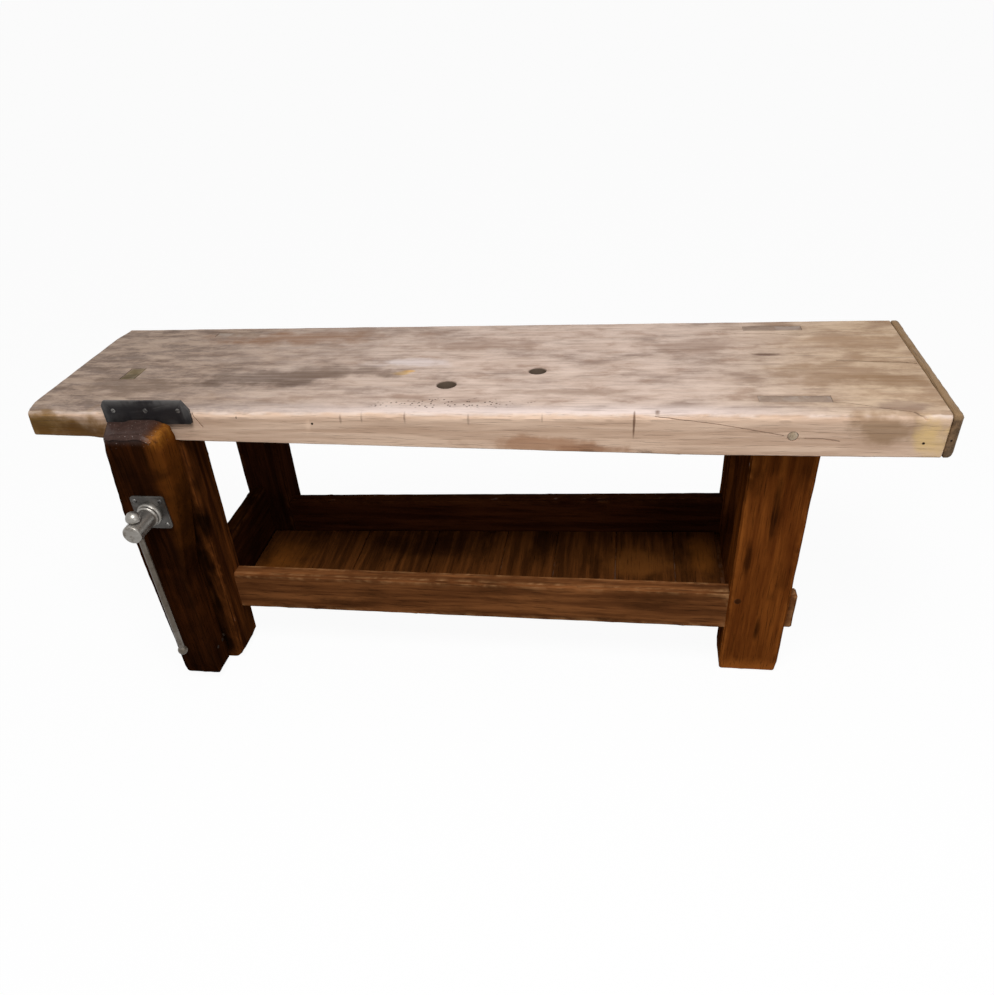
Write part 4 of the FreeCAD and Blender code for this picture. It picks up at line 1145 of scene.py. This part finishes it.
# %% Make the vise leg
SCREW_X = -0.703
SCREW_Z = 0.540
SCREW_LINE = (SCREW_X, 0, SCREW_Z)
SCREW_HOLE = 0.019
leg_low, leg_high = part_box("vise_leg")
vise_leg = post("leg_of_vise", "vise_leg", VISE_LEG_TAPER)
guide_low, guide_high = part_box("parallel_guide")
slot_room = Vector((0.001, 0.2, 0.001))
screw_bore = bore_outline(SCREW_HOLE, -0.3, 0.1)
cut_out(vise_leg, [turned("screw_hole", SCREW_LINE, (0, 1, 0), screw_bore, 40),
                   block("guide_slot", guide_low - slot_room, guide_high + slot_room)])
settle(vise_leg, vise_leg_wood, "bench", "dark_wood", "vise_leg")

# %% [markdown]
# ## Rails
# Four rails tie the legs. The front one ends in a long tenon that comes out of the right leg and
# stands proud of it. That tenon could be extruded from the rail's end, but wear then pulls at the
# step, so it is a smaller board of its own, joined to the rail. The back rail hangs out of level as
# the shelf does, so its two ends are moved up and down instead of turning the whole board.

# %% Make the rails
SHELF_SLOPE = math.tan(math.radians(1.65))
LEG_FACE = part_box("front_right_leg")[0].x
RAIL_INTO_LEG = 0.012
TENON_INSET = 0.006
EDGE_GAP = 0.001
BACK_RAIL_UNDER = 0.128
BACK_RAIL_TOP = 0.280


def sloped(piece, low, high):
    """Lower the left end and raise the right end, by the slope of the shelf."""
    half = (low.x + high.x) / 2
    shift(piece, lambda p: p.x < half, (0, 0, low.x * SHELF_SLOPE))
    shift(piece, lambda p: p.x > half, (0, 0, high.x * SHELF_SLOPE))


low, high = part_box("front_rail")
rail = hand_worn_board("rail_front", low, (LEG_FACE + RAIL_INTO_LEG, high.y, high.z), rounding=0.006,
                       step=0.012, depth=0.0022, arris_depth=0.004, segments=4)
tenon_low = (LEG_FACE, low.y + TENON_INSET, low.z + TENON_INSET)
tenon_high = (high.x, high.y - EDGE_GAP, high.z - TENON_INSET)
tenon = hand_worn_board("rail_front_tenon", tenon_low, tenon_high, rounding=0.005, step=0.012,
                        depth=0.002, arris_depth=0.003, size=0.04)
settle(joined("rail_front", [rail, tenon]), rail_wood, "bench", "dark_wood", "front_rail")

low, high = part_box("back_rail")
rail = block("rail_back", (low.x, low.y, BACK_RAIL_UNDER), (high.x, high.y, BACK_RAIL_TOP))
sloped(rail, low, high)
round_edges(rail, 0.005)
cut_all_ways(rail, 0.016)
worn(rail, depth=0.002, size=0.06, arris_depth=0.004)
settle(rail, shaded_rail_wood, "bench", "dark_wood", "back_rail")

for side in ("left", "right"):
    low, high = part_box(side + "_side_rail")
    rail = hand_worn_board("rail_" + side, low, high, rounding=0.006, step=0.014, depth=0.002,
                           arris_depth=0.0035)
    settle(rail, cross_wood, "bench", "dark_wood", side + "_side_rail")

# %% [markdown]
# ## Shelf
# Seven boards of uneven width lie from front to back on two ledgers. Each is a block with the slope
# of the shelf, its own wear and slightly rounded edges, so that the gaps between them read as dark
# lines. A tongue reaches under the next board, so that no light comes up through a gap, and that of
# the last board reaches towards the back leg. Making one board and copying it would show the same
# wear seven times.

# %% Make the shelf
BOARD_TOP = 0.180
BOARD_UNDER = 0.158
LEDGER_UNDER = 0.133


def sloped_board(name, node, bottom, level, rounding, step):
    """A worn board with the slope of the shelf, as long and as wide as its solid."""
    low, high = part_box(node)
    piece = block(name, (low.x, low.y, bottom), (high.x, high.y, level))
    sloped(piece, low, high)
    round_edges(piece, rounding, 2)
    cut_all_ways(piece, step)
    worn(piece, depth=0.0016, size=0.05, arris_depth=0.002)
    return piece


def tongue_of(node, front, reach):
    """A tongue along the right edge of a board, from front to back, that reaches past the edge."""
    low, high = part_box(node)
    tongue_low = Vector((high.x - TONGUE_INTO_BOARD, front, TONGUE_UNDER))
    tongue_high = Vector((high.x + reach, high.y - EDGE_GAP, TONGUE_TOP))
    tongue = block("tongue", tongue_low, tongue_high)
    sloped(tongue, tongue_low, tongue_high)
    return tongue


BOARDS = 7
TONGUE_INTO_BOARD = 0.004
TONGUE_UNDER = BOARD_UNDER + 0.007
TONGUE_TOP = BOARD_UNDER + 0.014
TONGUE_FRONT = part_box("shelf_board_1")[0].y + EDGE_GAP
TONGUE_REACH = 0.006
BEHIND_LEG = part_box("front_right_leg")[1].y + EDGE_GAP
LAST_REACH = 0.0105
for number in range(1, BOARDS + 1):
    node = f"shelf_board_{number}"
    board = sloped_board(f"board_{number}", node, BOARD_UNDER, BOARD_TOP, rounding=0.0025, step=0.016)
    if number < BOARDS:
        tongue = tongue_of(node, TONGUE_FRONT, TONGUE_REACH)
    else:
        tongue = tongue_of(node, BEHIND_LEG, LAST_REACH)
    settle(joined(board.name, [board, tongue]), shelf_wood, "bench", "dark_wood", node)
for side in ("front", "back"):
    node = f"{side}_ledger"
    ledger = sloped_board(f"ledger_{side}", node, LEDGER_UNDER, BOARD_UNDER, rounding=0.002, step=0.02)
    settle(ledger, rail_wood, "bench", "dark_wood", node)

# %% [markdown]
# ## Pegs
# Round pegs lock the tenons. A peg is whittled, so it is turned with few sides and its end is
# slightly domed. A cylinder could be turned to each side of the bench, but here one peg is turned
# for each way that they point, and the others are copies of it.

# %% Make the pegs
PEG_OUTLINE = [(0, 0.0002), (0.006, 0.0004), (0.0088, 0.0010), (0.0098, 0.0022), (0.0098, 0.040),
               (0, 0.040)]
SIDE_PEG_OUTLINE = [(0, 0.0002), (0.005, 0.0004), (0.0072, 0.0010), (0.0079, 0.0022), (0.0079, 0.040),
                    (0, 0.040)]
post_low, post_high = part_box("front_right_leg")
back_low, back_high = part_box("back_left_leg")
PEG_SIDES = 13
SIDE_PEG_LEVEL = 0.280

# Pegs: x, y, then z where it differs, and the way that they are driven
RAIL_PEGS = ((0.655, post_low.y, 0.226, 1), (-0.666, leg_high.y, 0.226, -1),
             (-0.622, back_high.y, 0.180, -1), (0.663, back_high.y, 0.180, -1))
SIDE_PEGS = ((leg_low.x, -0.0735, 1), (back_low.x, 0.2705, 1),
             (post_high.x, -0.0275, -1), (post_high.x, 0.2705, -1))


def pegs_both_ways(outline, axis, places):
    """Pegs at places that come with the way they point along an axis, 1 or -1."""
    pegs = []
    for way in (1, -1):
        alike = [place for place, inward in places if inward == way]
        pegs += turned_row("peg", outline, PEG_SIDES, Vector(axis) * way, alike)
    return pegs


pegs = pegs_both_ways(PEG_OUTLINE, (0, 1, 0), [((x, y, PEG_LEVEL), way) for x, y, way in TOP_PEGS])
peg_wood = varnished_wood("bare_peg", "YXZ", colour(150, 128, 104), colour(206, 186, 160),
                          colour(220, 204, 184))
settle(joined("pegs_of_top", pegs), peg_wood, "bench", "pale_wood", "top_pegs")
pegs = pegs_both_ways(PEG_OUTLINE, (0, 1, 0), [((x, y, z), way) for x, y, z, way in RAIL_PEGS])
settle(joined("pegs_of_rails", pegs), cross_wood, "bench", "dark_wood", "rail_pegs")
places = [((x, y, SIDE_PEG_LEVEL), way) for x, y, way in SIDE_PEGS]
pegs = pegs_both_ways(SIDE_PEG_OUTLINE, (1, 0, 0), places)
settle(joined("pegs_of_side_rails", pegs), cross_wood, "bench", "dark_wood", "side_rail_pegs")

# %% [markdown]
# ## Nails
# Nails hold the cap, the ledgers and the guide. A nail has a dished head, so its outline starts a
# little inside the face. Each row is one turned nail and its copies, evenly spaced or, on the guide,
# one on either side of the middle.

# %% Make the nails
NAIL_OUTLINE = [(0, 0.0006), (0.0028, 0.0002), (0.0046, 0.0004), (0.005, 0.0010), (0.0046, 0.0022),
                (0.0025, 0.0026), (0.0025, 0.045), (0, 0.048)]
CAP_NAILS = 5
CAP_NAIL_LEVEL = 0.698
LEDGER_NAILS = 5
top_low, top_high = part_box("bench_top")
cap_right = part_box("top_end_cap")[1].x
pitch = (top_high.y - top_low.y) / CAP_NAILS
places = [(cap_right, top_low.y + pitch * (i + 0.5), CAP_NAIL_LEVEL) for i in range(CAP_NAILS)]
nails = turned_row("nail", NAIL_OUTLINE, 16, (-1, 0, 0), places)
settle(joined("nails_of_cap", nails), iron, "bench", "dark_iron", "cap_nails")

ledger_low, ledger_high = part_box("front_ledger")
run = (ledger_high.x - ledger_low.x) / LEDGER_NAILS
level = (BOARD_UNDER + LEDGER_UNDER) / 2
across = [ledger_low.x + run * (i + 0.5) for i in range(LEDGER_NAILS)]
nails = []
for y, inward in ((ledger_high.y, -1), (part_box("back_ledger")[0].y, 1)):
    places = [(x, y, level + x * SHELF_SLOPE) for x in across]
    nails += turned_row("nail", NAIL_OUTLINE, 12, (0, inward, 0), places)
settle(joined("nails_of_ledgers", nails), iron, "bench", "dark_iron", "ledger_nails")

GUIDE_NAIL_X = SCREW_X + 0.024
GUIDE_NAILS_Y = (-0.215, -0.185)
guide_level = (guide_low.z + guide_high.z) / 2
places = [(GUIDE_NAIL_X, y, guide_level) for y in GUIDE_NAILS_Y]
nails = turned_row("nail", NAIL_OUTLINE, 12, (-1, 0, 0), places)
settle(joined("nails_of_guide", nails), rusty_iron, "chop", "dark_iron", "guide_nails")

# %% [markdown]
# ## Small nails in the front edge
# Four old brads are left in the front edge of the top and in the cap. They are tiny, but in the
# picture they are sharp dark points. Each sits on the front face, where its pixel says.

# %% Add the brads
BRADS = ((236, 418), (312, 424), (923.6, 443.7), (951.6, 441))
BRAD_OUTLINE = [(0, 0.0004), (0.0016, 0.0005), (0.0028, 0.0009), (0.0028, 0.006), (0, 0.010)]
brads = turned_row("brad", BRAD_OUTLINE, 12, (0, 1, 0), [seen_at(u, v, 1, TOP_FRONT) for u, v in BRADS])
settle(joined("brads", brads), rusty_iron, "bench", "dark_iron")

# %% [markdown]
# ## Planing stop
# A square block of hard wood sits in its hole and is knocked up when a board is planed against it.
# It slides, so it rides on its own body. Its upper edges are battered, and its top stays just under
# the face of the bench.

# %% Make the planing stop
stop = hand_worn_board("stop_block", stop_low, stop_high, rounding=0.0025, step=0.008, depth=0.0012,
                       arris_depth=0.002)
settle(stop, stop_wood, "stop", "grey_wood", "planing_stop")

# %% [markdown]
# ## Jaw plate
# An iron plate guards the edge of the top behind the vise. Its upper corners are cut off, the right
# one more than the left one, and three slotted screws sit in countersinks. The corners are moved in
# along the top edge before the edges are rounded; the countersinks and the screw slots are cut out.

# %% Make the jaw plate
# Cut corners: how far along the plate, and how far down
LEFT_CUT = (0.007, 0.011)
RIGHT_CUT = (0.014, 0.022)
PLATE_ENDS_FROM = 0.102
BELOW_CUTS = 0.030
PLATE_ROUND = 0.006
PLATE_ARRIS = 0.0012
PLATE_SCREW_INSET = 0.026
PLATE_SCREW_DROP = 0.023
low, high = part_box("jaw_plate")
plate = block("jaw_guard", low, high)
plate_middle = (low + high) / 2
loop_at(plate, 0, low.x + LEFT_CUT[0])
loop_at(plate, 0, high.x - RIGHT_CUT[0])
shift(plate, lambda p: p.x < low.x + TINY and p.z > high.z - TINY, (0, 0, -LEFT_CUT[1]))
shift(plate, lambda p: p.x > high.x - TINY and p.z > high.z - TINY, (0, 0, -RIGHT_CUT[1]))
round_edges(plate, PLATE_ROUND, 4, lambda m: abs(m.x - plate_middle.x) > PLATE_ENDS_FROM
            and m.z < high.z - BELOW_CUTS and abs(m.y - plate_middle.y) < TINY)
round_edges(plate, PLATE_ARRIS, 2)
PLATE_SCREWS = (low.x + PLATE_SCREW_INSET, plate_middle.x, high.x - PLATE_SCREW_INSET)
plate_screw_level = high.z - PLATE_SCREW_DROP
SINK_OUTLINE = [(0, -0.002), (0.0062, -0.002), (0.0062, 0.0004), (0.003, 0.0042), (0.003, 0.012),
                (0, 0.012)]
places = [(x, low.y, plate_screw_level) for x in PLATE_SCREWS]
cut_out(plate, turned_row("sink", SINK_OUTLINE, 28, (0, 1, 0), places))
settle(plate, plate_metal, "bench", "black_plate", "jaw_plate")

FLUSH_OUTLINE = [(0, 0.0002), (0.0050, 0.0004), (0.0056, 0.0010), (0.0027, 0.0042), (0.0027, 0.030),
                 (0, 0.032)]
SLOT_ANGLES = (0.5, -0.7, 0.2)
SLOT_OUT = Vector((0.008, 0.001, 0.0007))
SLOT_IN = Vector((0.008, 0.0016, 0.0007))


def slot_cutter(place, angle):
    """A thin block across a screw's head, turned about the screw's line."""
    cutter = block("slot", Vector(place) - SLOT_OUT, Vector(place) + SLOT_IN)
    editing(cutter)
    bpy.ops.mesh.select_all(action="SELECT")
    bpy.ops.transform.rotate(value=angle, orient_axis="Y", center_override=place)
    finished_editing()
    return cutter


heads = turned_row("head", FLUSH_OUTLINE, 28, (0, 1, 0), places)
for head, place, angle in zip(heads, places, SLOT_ANGLES):
    cut_out(head, [slot_cutter(place, angle)])
settle(joined("jaw_guard_screws", heads), screw_metal, "bench", "black_plate", "jaw_plate_screws")

# %% [markdown]
# ## The chop
# The chop is a thick board that tapers to its foot. It is widest just above the screw, its top left
# corner spreads out behind to the jaw plate's end, and all its arrises are worn round. The block gets
# cuts at the heights where its outline changes, and the points of each cut are moved to the outline.
# Its upper corners are drawn down softly at the end.

# %% Make the chop
chop_low, chop_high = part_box("vise_chop")

# Outline: height, left and right side from the screw's line, and how far the back left edge spreads
CHOP_OUTLINE = (
    (0.340, -0.0766, 0.0240, 0.0),
    (SCREW_Z, -0.0800, 0.0613, 0.0),
    (0.560, -0.0781, 0.0650, -0.0037),
    (0.650, -0.0697, 0.0682, -0.0205),
    (chop_high.z, -0.0620, 0.0710, -0.0360),
)
FOOT_LEFT = -0.071
FOOT_RIGHT = 0.024
CHOP_LOOPS = (0.045, 0.075)
FOOT_LIFT = 0.044
TOP_DROP = 0.008
CHOP_STEP = 0.011
CHOP_ROUND = 0.009
CHOP_TOP_ROUND = 0.007
NEAR_TOP = 0.010
CORNER_WIDTH = 0.008
CORNER_HEIGHT = 0.012
chop = block("chop", (SCREW_X + FOOT_LEFT, chop_low.y, chop_low.z),
             (SCREW_X + FOOT_RIGHT, chop_high.y, chop_high.z))
for row in CHOP_OUTLINE[:-1]:
    loop_at(chop, 2, row[0])
for height, left_side, right_side, ear in CHOP_OUTLINE:
    for x, aim in ((FOOT_LEFT, left_side), (FOOT_RIGHT, right_side)):
        shift(chop, lambda p: abs(p.z - height) < TINY and abs(p.x - SCREW_X - x) < TINY,
              (aim - x, 0, 0))
    shift(chop, lambda p: abs(p.z - height) < TINY and p.y > chop_high.y - TINY and p.x < SCREW_X,
          (ear, 0, 0))
for behind in CHOP_LOOPS:
    loop_at(chop, 1, chop_high.y - behind)
shift(chop, lambda p: p.y < chop_low.y + TINY and p.z < chop_low.z + TINY, (0, 0, FOOT_LIFT))
shift(chop, lambda p: p.y < chop_low.y + TINY and p.z > chop_high.z - TINY, (0, 0, -TOP_DROP))
round_edges(chop, CHOP_TOP_ROUND, 4, lambda m: m.z > chop_high.z - NEAR_TOP)
round_edges(chop, CHOP_ROUND, 4)
for axis in (2, 0, 1):
    cut_along(chop, axis, CHOP_STEP)
top_left, top_right = CHOP_OUTLINE[-1][1:3]

# Upper corners: where, on which side, how far they are drawn, and how far that reaches
CHOP_CORNERS = ((top_right, 1, (-0.006, 0, -0.011), 0.040), (top_left, -1, (0.003, 0, -0.006), 0.030))
for edge, side, move, reach in CHOP_CORNERS:
    shift(chop, lambda p: (p.x - SCREW_X - edge) * side > -CORNER_WIDTH
          and p.z > chop_high.z - CORNER_HEIGHT, move, reach)
worn(chop, depth=0.0016, size=0.05, arris_depth=0.0012, arris_size=0.018)
settle(chop, chop_wood, "chop", "dark_wood", "vise_chop")

# %% [markdown]
# ## Vise screw
# The vise screw has a round head with a cross hole for its bar, two rings against a square iron
# flange, and a coarse thread that runs into a nut behind the leg. The head is turned in one piece
# with the core. The thread is a short outline that a Screw modifier winds round the same line, at
# eight millimetres a turn, which is how far the chop moves when the screw's joint turns once.

# %% Turn the screw
HEAD_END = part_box("vise_screw")[0].y
SCREW_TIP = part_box("vise_screw")[1].y
SCREW_LENGTH = SCREW_TIP - HEAD_END
CORE = 0.0152
TOOTH_ROOT = CORE - 0.0004
CREST = 0.0179
PITCH = 0.008
THREAD_FROM = 0.192
BAR_HOLE = 0.0073
head_outline = [(0, 0.0), (0.0178, 0.0), (0.0204, 0.0008), (0.0218, 0.0030), (0.0220, 0.0060),
                (0.0220, 0.0700), (0.0226, 0.0735), (0.0252, 0.0752), (0.0260, 0.0770), (0.0260, 0.0815),
                (0.0250, 0.0832), (0.0256, 0.0845), (0.0284, 0.0862), (0.0290, 0.0880), (0.0290, 0.0940),
                (0.0282, 0.0957), (0.0179, 0.0957), (0.0179, THREAD_FROM - 0.002), (CORE, THREAD_FROM),
                (CORE, SCREW_LENGTH - 0.003), (CORE - 0.003, SCREW_LENGTH), (0, SCREW_LENGTH)]
head = turned("vise_screw_head", (SCREW_X, HEAD_END, SCREW_Z), (0, 1, 0), head_outline, 56)
bar_low, bar_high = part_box("tommy_bar")
bar_y = (bar_low.y + bar_high.y) / 2
bar_bore = bore_outline(BAR_HOLE, -0.05, 0.05)
cut_out(head, [turned("bar_hole", (SCREW_X, bar_y, SCREW_Z), (0, 0, 1), bar_bore, 32)])

start = HEAD_END + THREAD_FROM
tooth = [(TOOTH_ROOT, 0.0), (TOOTH_ROOT, 0.0026), (CREST, 0.0036), (CREST, 0.0064),
         (TOOTH_ROOT, 0.0074), (TOOTH_ROOT, PITCH)]
turns = int((SCREW_TIP - start - 0.003) / PITCH) - 1
thread = drawn_line("thread", [Vector((radius, away, 0)) for radius, away in tooth])
modified(thread, "SCREW", axis="Y", angle=math.tau, screw_offset=PITCH, iterations=turns, steps=32,
         render_steps=32, use_merge_vertices=True, merge_threshold=0.00001)
only(thread)
bpy.ops.transform.translate(value=(SCREW_X, start, SCREW_Z))
bpy.ops.object.transform_apply(location=True, rotation=True, scale=True)
editing(thread)
bpy.ops.mesh.select_all(action="SELECT")
bpy.ops.mesh.normals_make_consistent(inside=False)
finished_editing()
settle(joined("vise_screw_turned", [head, thread]), steel, "screw", "worn_steel", "vise_screw")

# The collar behind the chop keeps its solid and only gets the steel
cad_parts["thrust_collar"].data.materials.clear()
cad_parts["thrust_collar"].data.materials.append(steel)

# %% [markdown]
# ## Flange and nut
# A square flange on the chop and a plate nut behind the leg hold the screw, each with four domed
# screws. Both plates are one recipe: a block with rounded corners, small worn edges and a round hole
# cut through it. One slotted screw is modelled for each plate and copied to its other corners.

# %% Make the flange and the nut
IRON_HOLE = 0.0184
DOME_OUTLINE = [(0, -0.0035), (0.0022, -0.0033), (0.0042, -0.0023), (0.0053, -0.0008), (0.0055, 0.0),
                (0.0024, 0.0), (0.0024, 0.030), (0, 0.032)]
DOME_SLOT_FROM = 0.0045
DOME_SLOT_TO = 0.0020
DOME_SLOT = Vector((0.007, 0, 0.0006))


def iron_plate(name, low, high, corner):
    """A square iron plate with rounded corners, worn edges and a hole for the screw."""
    piece = block(name, low, high)
    centre = (Vector(low) + Vector(high)) / 2
    round_edges(piece, corner, 4, lambda m: abs(m.y - centre.y) < TINY)
    round_edges(piece, PLATE_ARRIS, 2)
    hole = bore_outline(IRON_HOLE, -0.1, 0.1)
    cut_out(piece, [turned("hole", (SCREW_X, centre.y, SCREW_Z), (0, 1, 0), hole, 40)])
    return piece


def domed_screws(name, places, inward):
    """Slotted screws with domed heads that stand on a plate: one is modelled, the rest are copies."""
    first = Vector(places[0])
    one = turned(name, first, (0, inward, 0), DOME_OUTLINE, 24)
    front, back = sorted(-inward * away for away in (DOME_SLOT_FROM, DOME_SLOT_TO))
    slot_low = first - DOME_SLOT + Vector((0, front, 0))
    slot_high = first + DOME_SLOT + Vector((0, back, 0))
    cut_out(one, [block("slot", slot_low, slot_high)])
    return joined(name, [one] + [copy_at(one, Vector(place) - first) for place in places[1:]])


def square_places(y, half):
    """Four places about the screw's line, one at each corner of a square."""
    return [(SCREW_X + i * half, y, SCREW_Z + k * half) for i in (-1, 1) for k in (-1, 1)]


SCREWS_FROM_LINE = 0.031
low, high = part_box("screw_flange")
settle(iron_plate("flange", low, high, corner=0.008), iron, "chop", "dark_iron", "screw_flange")
screw_set = domed_screws("flange_screw_set", square_places(low.y, SCREWS_FROM_LINE), 1)
settle(screw_set, screw_metal, "chop", "dark_iron", "flange_screws")
low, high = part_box("vise_nut")
nut = iron_plate("nut_plate", (low.x, leg_high.y, low.z), high, corner=0.006)
settle(nut, iron, "bench", "dark_iron", "vise_nut")
screw_set = domed_screws("nut_screw_set", square_places(high.y, SCREWS_FROM_LINE), -1)
settle(screw_set, iron, "bench", "dark_iron", "nut_screws")

# %% [markdown]
# ## Tommy bar
# The bar slides through the screw's head and turns it. It hangs by a domed knob on its upper end and
# has a small ball on its lower end. Bar, knob and ball are three turned outlines on one line. The
# knob's dome and the ball are arcs, worked out from their sizes.

# %% Turn the bar, its knob and its ball
bar_radius = (bar_high.x - bar_low.x) / 2
bar_length = bar_high.z - bar_low.z
bar_outline = [(0, 0), (bar_radius - 0.001, 0), (bar_radius, 0.002), (bar_radius, bar_length * 0.45),
               (bar_radius - 0.0002, bar_length * 0.5), (bar_radius, bar_length * 0.55),
               (bar_radius, bar_length - 0.001), (bar_radius - 0.001, bar_length), (0, bar_length)]
bar = turned("bar", (SCREW_X, bar_y, bar_low.z), (0, 0, 1), bar_outline, 28)
settle(bar, bar_steel, "tommy_bar", "worn_steel", "tommy_bar")

KNOB_RIM = 0.0045
knob_low, knob_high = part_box("bar_knob")
knob_radius = (knob_high.x - knob_low.x) / 2
knob_height = knob_high.z - knob_low.z
knob_outline = [(0, 0), (knob_radius * 0.82, 0), (knob_radius * 0.94, 0.0012), (knob_radius, KNOB_RIM)]
knob_outline += arc_points(knob_radius, knob_height - KNOB_RIM, KNOB_RIM, range(12, 90, 13))
knob_outline += [(0, knob_height)]
knob = turned("knob", (SCREW_X, bar_y, knob_low.z), (0, 0, 1), knob_outline, 36)
settle(knob, steel, "tommy_bar", "worn_steel", "bar_knob")

ball_low, ball_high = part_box("bar_ball")
ball_radius = (ball_high.x - ball_low.x) / 2
ball_middle = ball_low.z + ball_radius
ball_outline = [(0, -ball_radius)] + arc_points(ball_radius, ball_radius, 0, range(-75, 51, 14))
ball_outline += [(bar_radius * 1.05, ball_radius * 0.92), (0, ball_radius * 0.92)]
ball = turned("ball", (SCREW_X, bar_y, ball_middle), (0, 0, 1), ball_outline, 32)
settle(ball, bar_steel, "tommy_bar", "worn_steel", "bar_ball")

# %% [markdown]
# ## Guide and pin
# A bar with a row of holes keeps the chop upright, and a loose pin in one of the holes sets how far
# the foot of the chop stands from the leg. The guide is a worn board with its holes cut out, and the
# pin is a turned rod with rounded ends.

# %% Make the guide and its pin
PIN_HOLES = 4
PIN_PITCH = 0.026
PIN_HOLE = 0.0041
pin_low, pin_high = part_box("guide_pin")
pin_y = (pin_low.y + pin_high.y) / 2
guide = hand_worn_board("guide", guide_low, guide_high, rounding=0.003, step=0.010, depth=0.0006,
                        arris_depth=0.002)
guide_x = (guide_low.x + guide_high.x) / 2
places = [(guide_x, pin_y + i * PIN_PITCH, guide_level) for i in range(PIN_HOLES)]
cut_out(guide, turned_row("pin_hole", bore_outline(PIN_HOLE, -0.03, 0.03), 20, (1, 0, 0), places))
settle(guide, cross_wood, "chop", "dark_wood", "parallel_guide")

pin_length = pin_high.x - pin_low.x
pin_outline = [(0, 0), (0.0026, 0.0004), (0.0037, 0.0018), (0.0039, 0.0035), (0.0039, pin_length - 0.0035),
               (0.0037, pin_length - 0.0018), (0.0026, pin_length - 0.0004), (0, pin_length)]
pin = turned("pin", (pin_low.x, pin_y, guide_level), (1, 0, 0), pin_outline, 20)
settle(pin, rusty_iron, "guide_pin", "worn_steel", "guide_pin")

# %% [markdown]
# ## Floor
# The bench stands on a plain white floor, with a soft shadow. White paint alone comes out grey, since
# no lamp lights it fully, so where the floor is seen it glows almost white. For the light that it
# throws up at the bench it stays a plain grey.

# %% Lay the floor
FLOOR_SIZE = 900
FLOOR_GLOW = 0.95


def in_view(tree):
    """1 for what is seen, straight or in a reflection, and 0 for the light that falls on the bench."""
    rays = add(tree, "LightPath").outputs
    seen = calc(tree, "MAXIMUM", rays["Is Camera Ray"], rays["Is Glossy Ray"])
    return calc(tree, "MAXIMUM", seen, rays["Is Transmission Ray"])


def white_floor():
    finish = bpy.data.materials.new("white_floor")
    finish.use_nodes = True
    tree = finish.node_tree
    tree.nodes.remove(tree.nodes["Principled BSDF"])
    paint = add(tree, "BsdfDiffuse")
    seen = in_view(tree)
    feed(tree, paint.inputs["Color"], mixed(tree, seen, colour(150, 150, 150), colour(248, 248, 248)))
    mixer = add(tree, "MixShader")
    feed(tree, mixer.inputs[0], times(tree, seen, FLOOR_GLOW))
    feed(tree, mixer.inputs[1], paint.outputs[0])
    feed(tree, mixer.inputs[2], add(tree, "Emission").outputs[0])
    feed(tree, tree.nodes["Material Output"].inputs["Surface"], mixer.outputs[0])
    return finish


bpy.ops.object.select_all(action="DESELECT")
bpy.ops.mesh.primitive_plane_add(size=FLOOR_SIZE, location=(0, 0, 0))
floor = bpy.context.active_object
floor.name = "floor"
floor.data.materials.append(white_floor())
print("floor:", FLOOR_SIZE, "metres wide")

# %% [markdown]
# ## Lamps and world
# A wide lamp above the front gives the light its direction, a weak one fills the right side, and the
# white world does the rest. The world looks white but lights less than it looks, so that the shadows
# keep their depth and colours come out about as they were written.

# %% Light the bench
WORLD_LIGHT = 0.30
WORLD_SEEN = 0.965
world = bpy.data.worlds.new("white_room")
bpy.context.scene.world = world
world.use_nodes = True
tree = world.node_tree
sky = tree.nodes["Background"]
feed(tree, sky.inputs["Strength"], spread(tree, in_view(tree), WORLD_LIGHT, WORLD_SEEN))
sky.inputs["Color"].default_value = (1, 1, 1, 1)


def soft_lamp(name, place, aim, size, power):
    bpy.ops.object.select_all(action="DESELECT")
    bpy.ops.object.light_add(type="AREA", location=place)
    lamp = bpy.context.active_object
    lamp.name = name
    lamp.data.shape = "DISK"
    lamp.data.size = size
    lamp.data.energy = power
    lamp.rotation_mode = "QUATERNION"
    lamp.rotation_quaternion = (Vector(aim) - Vector(place)).to_track_quat("-Z", "Y")


soft_lamp("key_lamp", place=(0.2, -1.45, 3.3), aim=(0.1, 0, 0.5), size=1.7, power=84)
soft_lamp("fill_lamp", place=(2.2, -2.4, 1.5), aim=(0.3, 0, 0.4), size=1.6, power=14)
bpy.context.scene.view_settings.view_transform = "Standard"
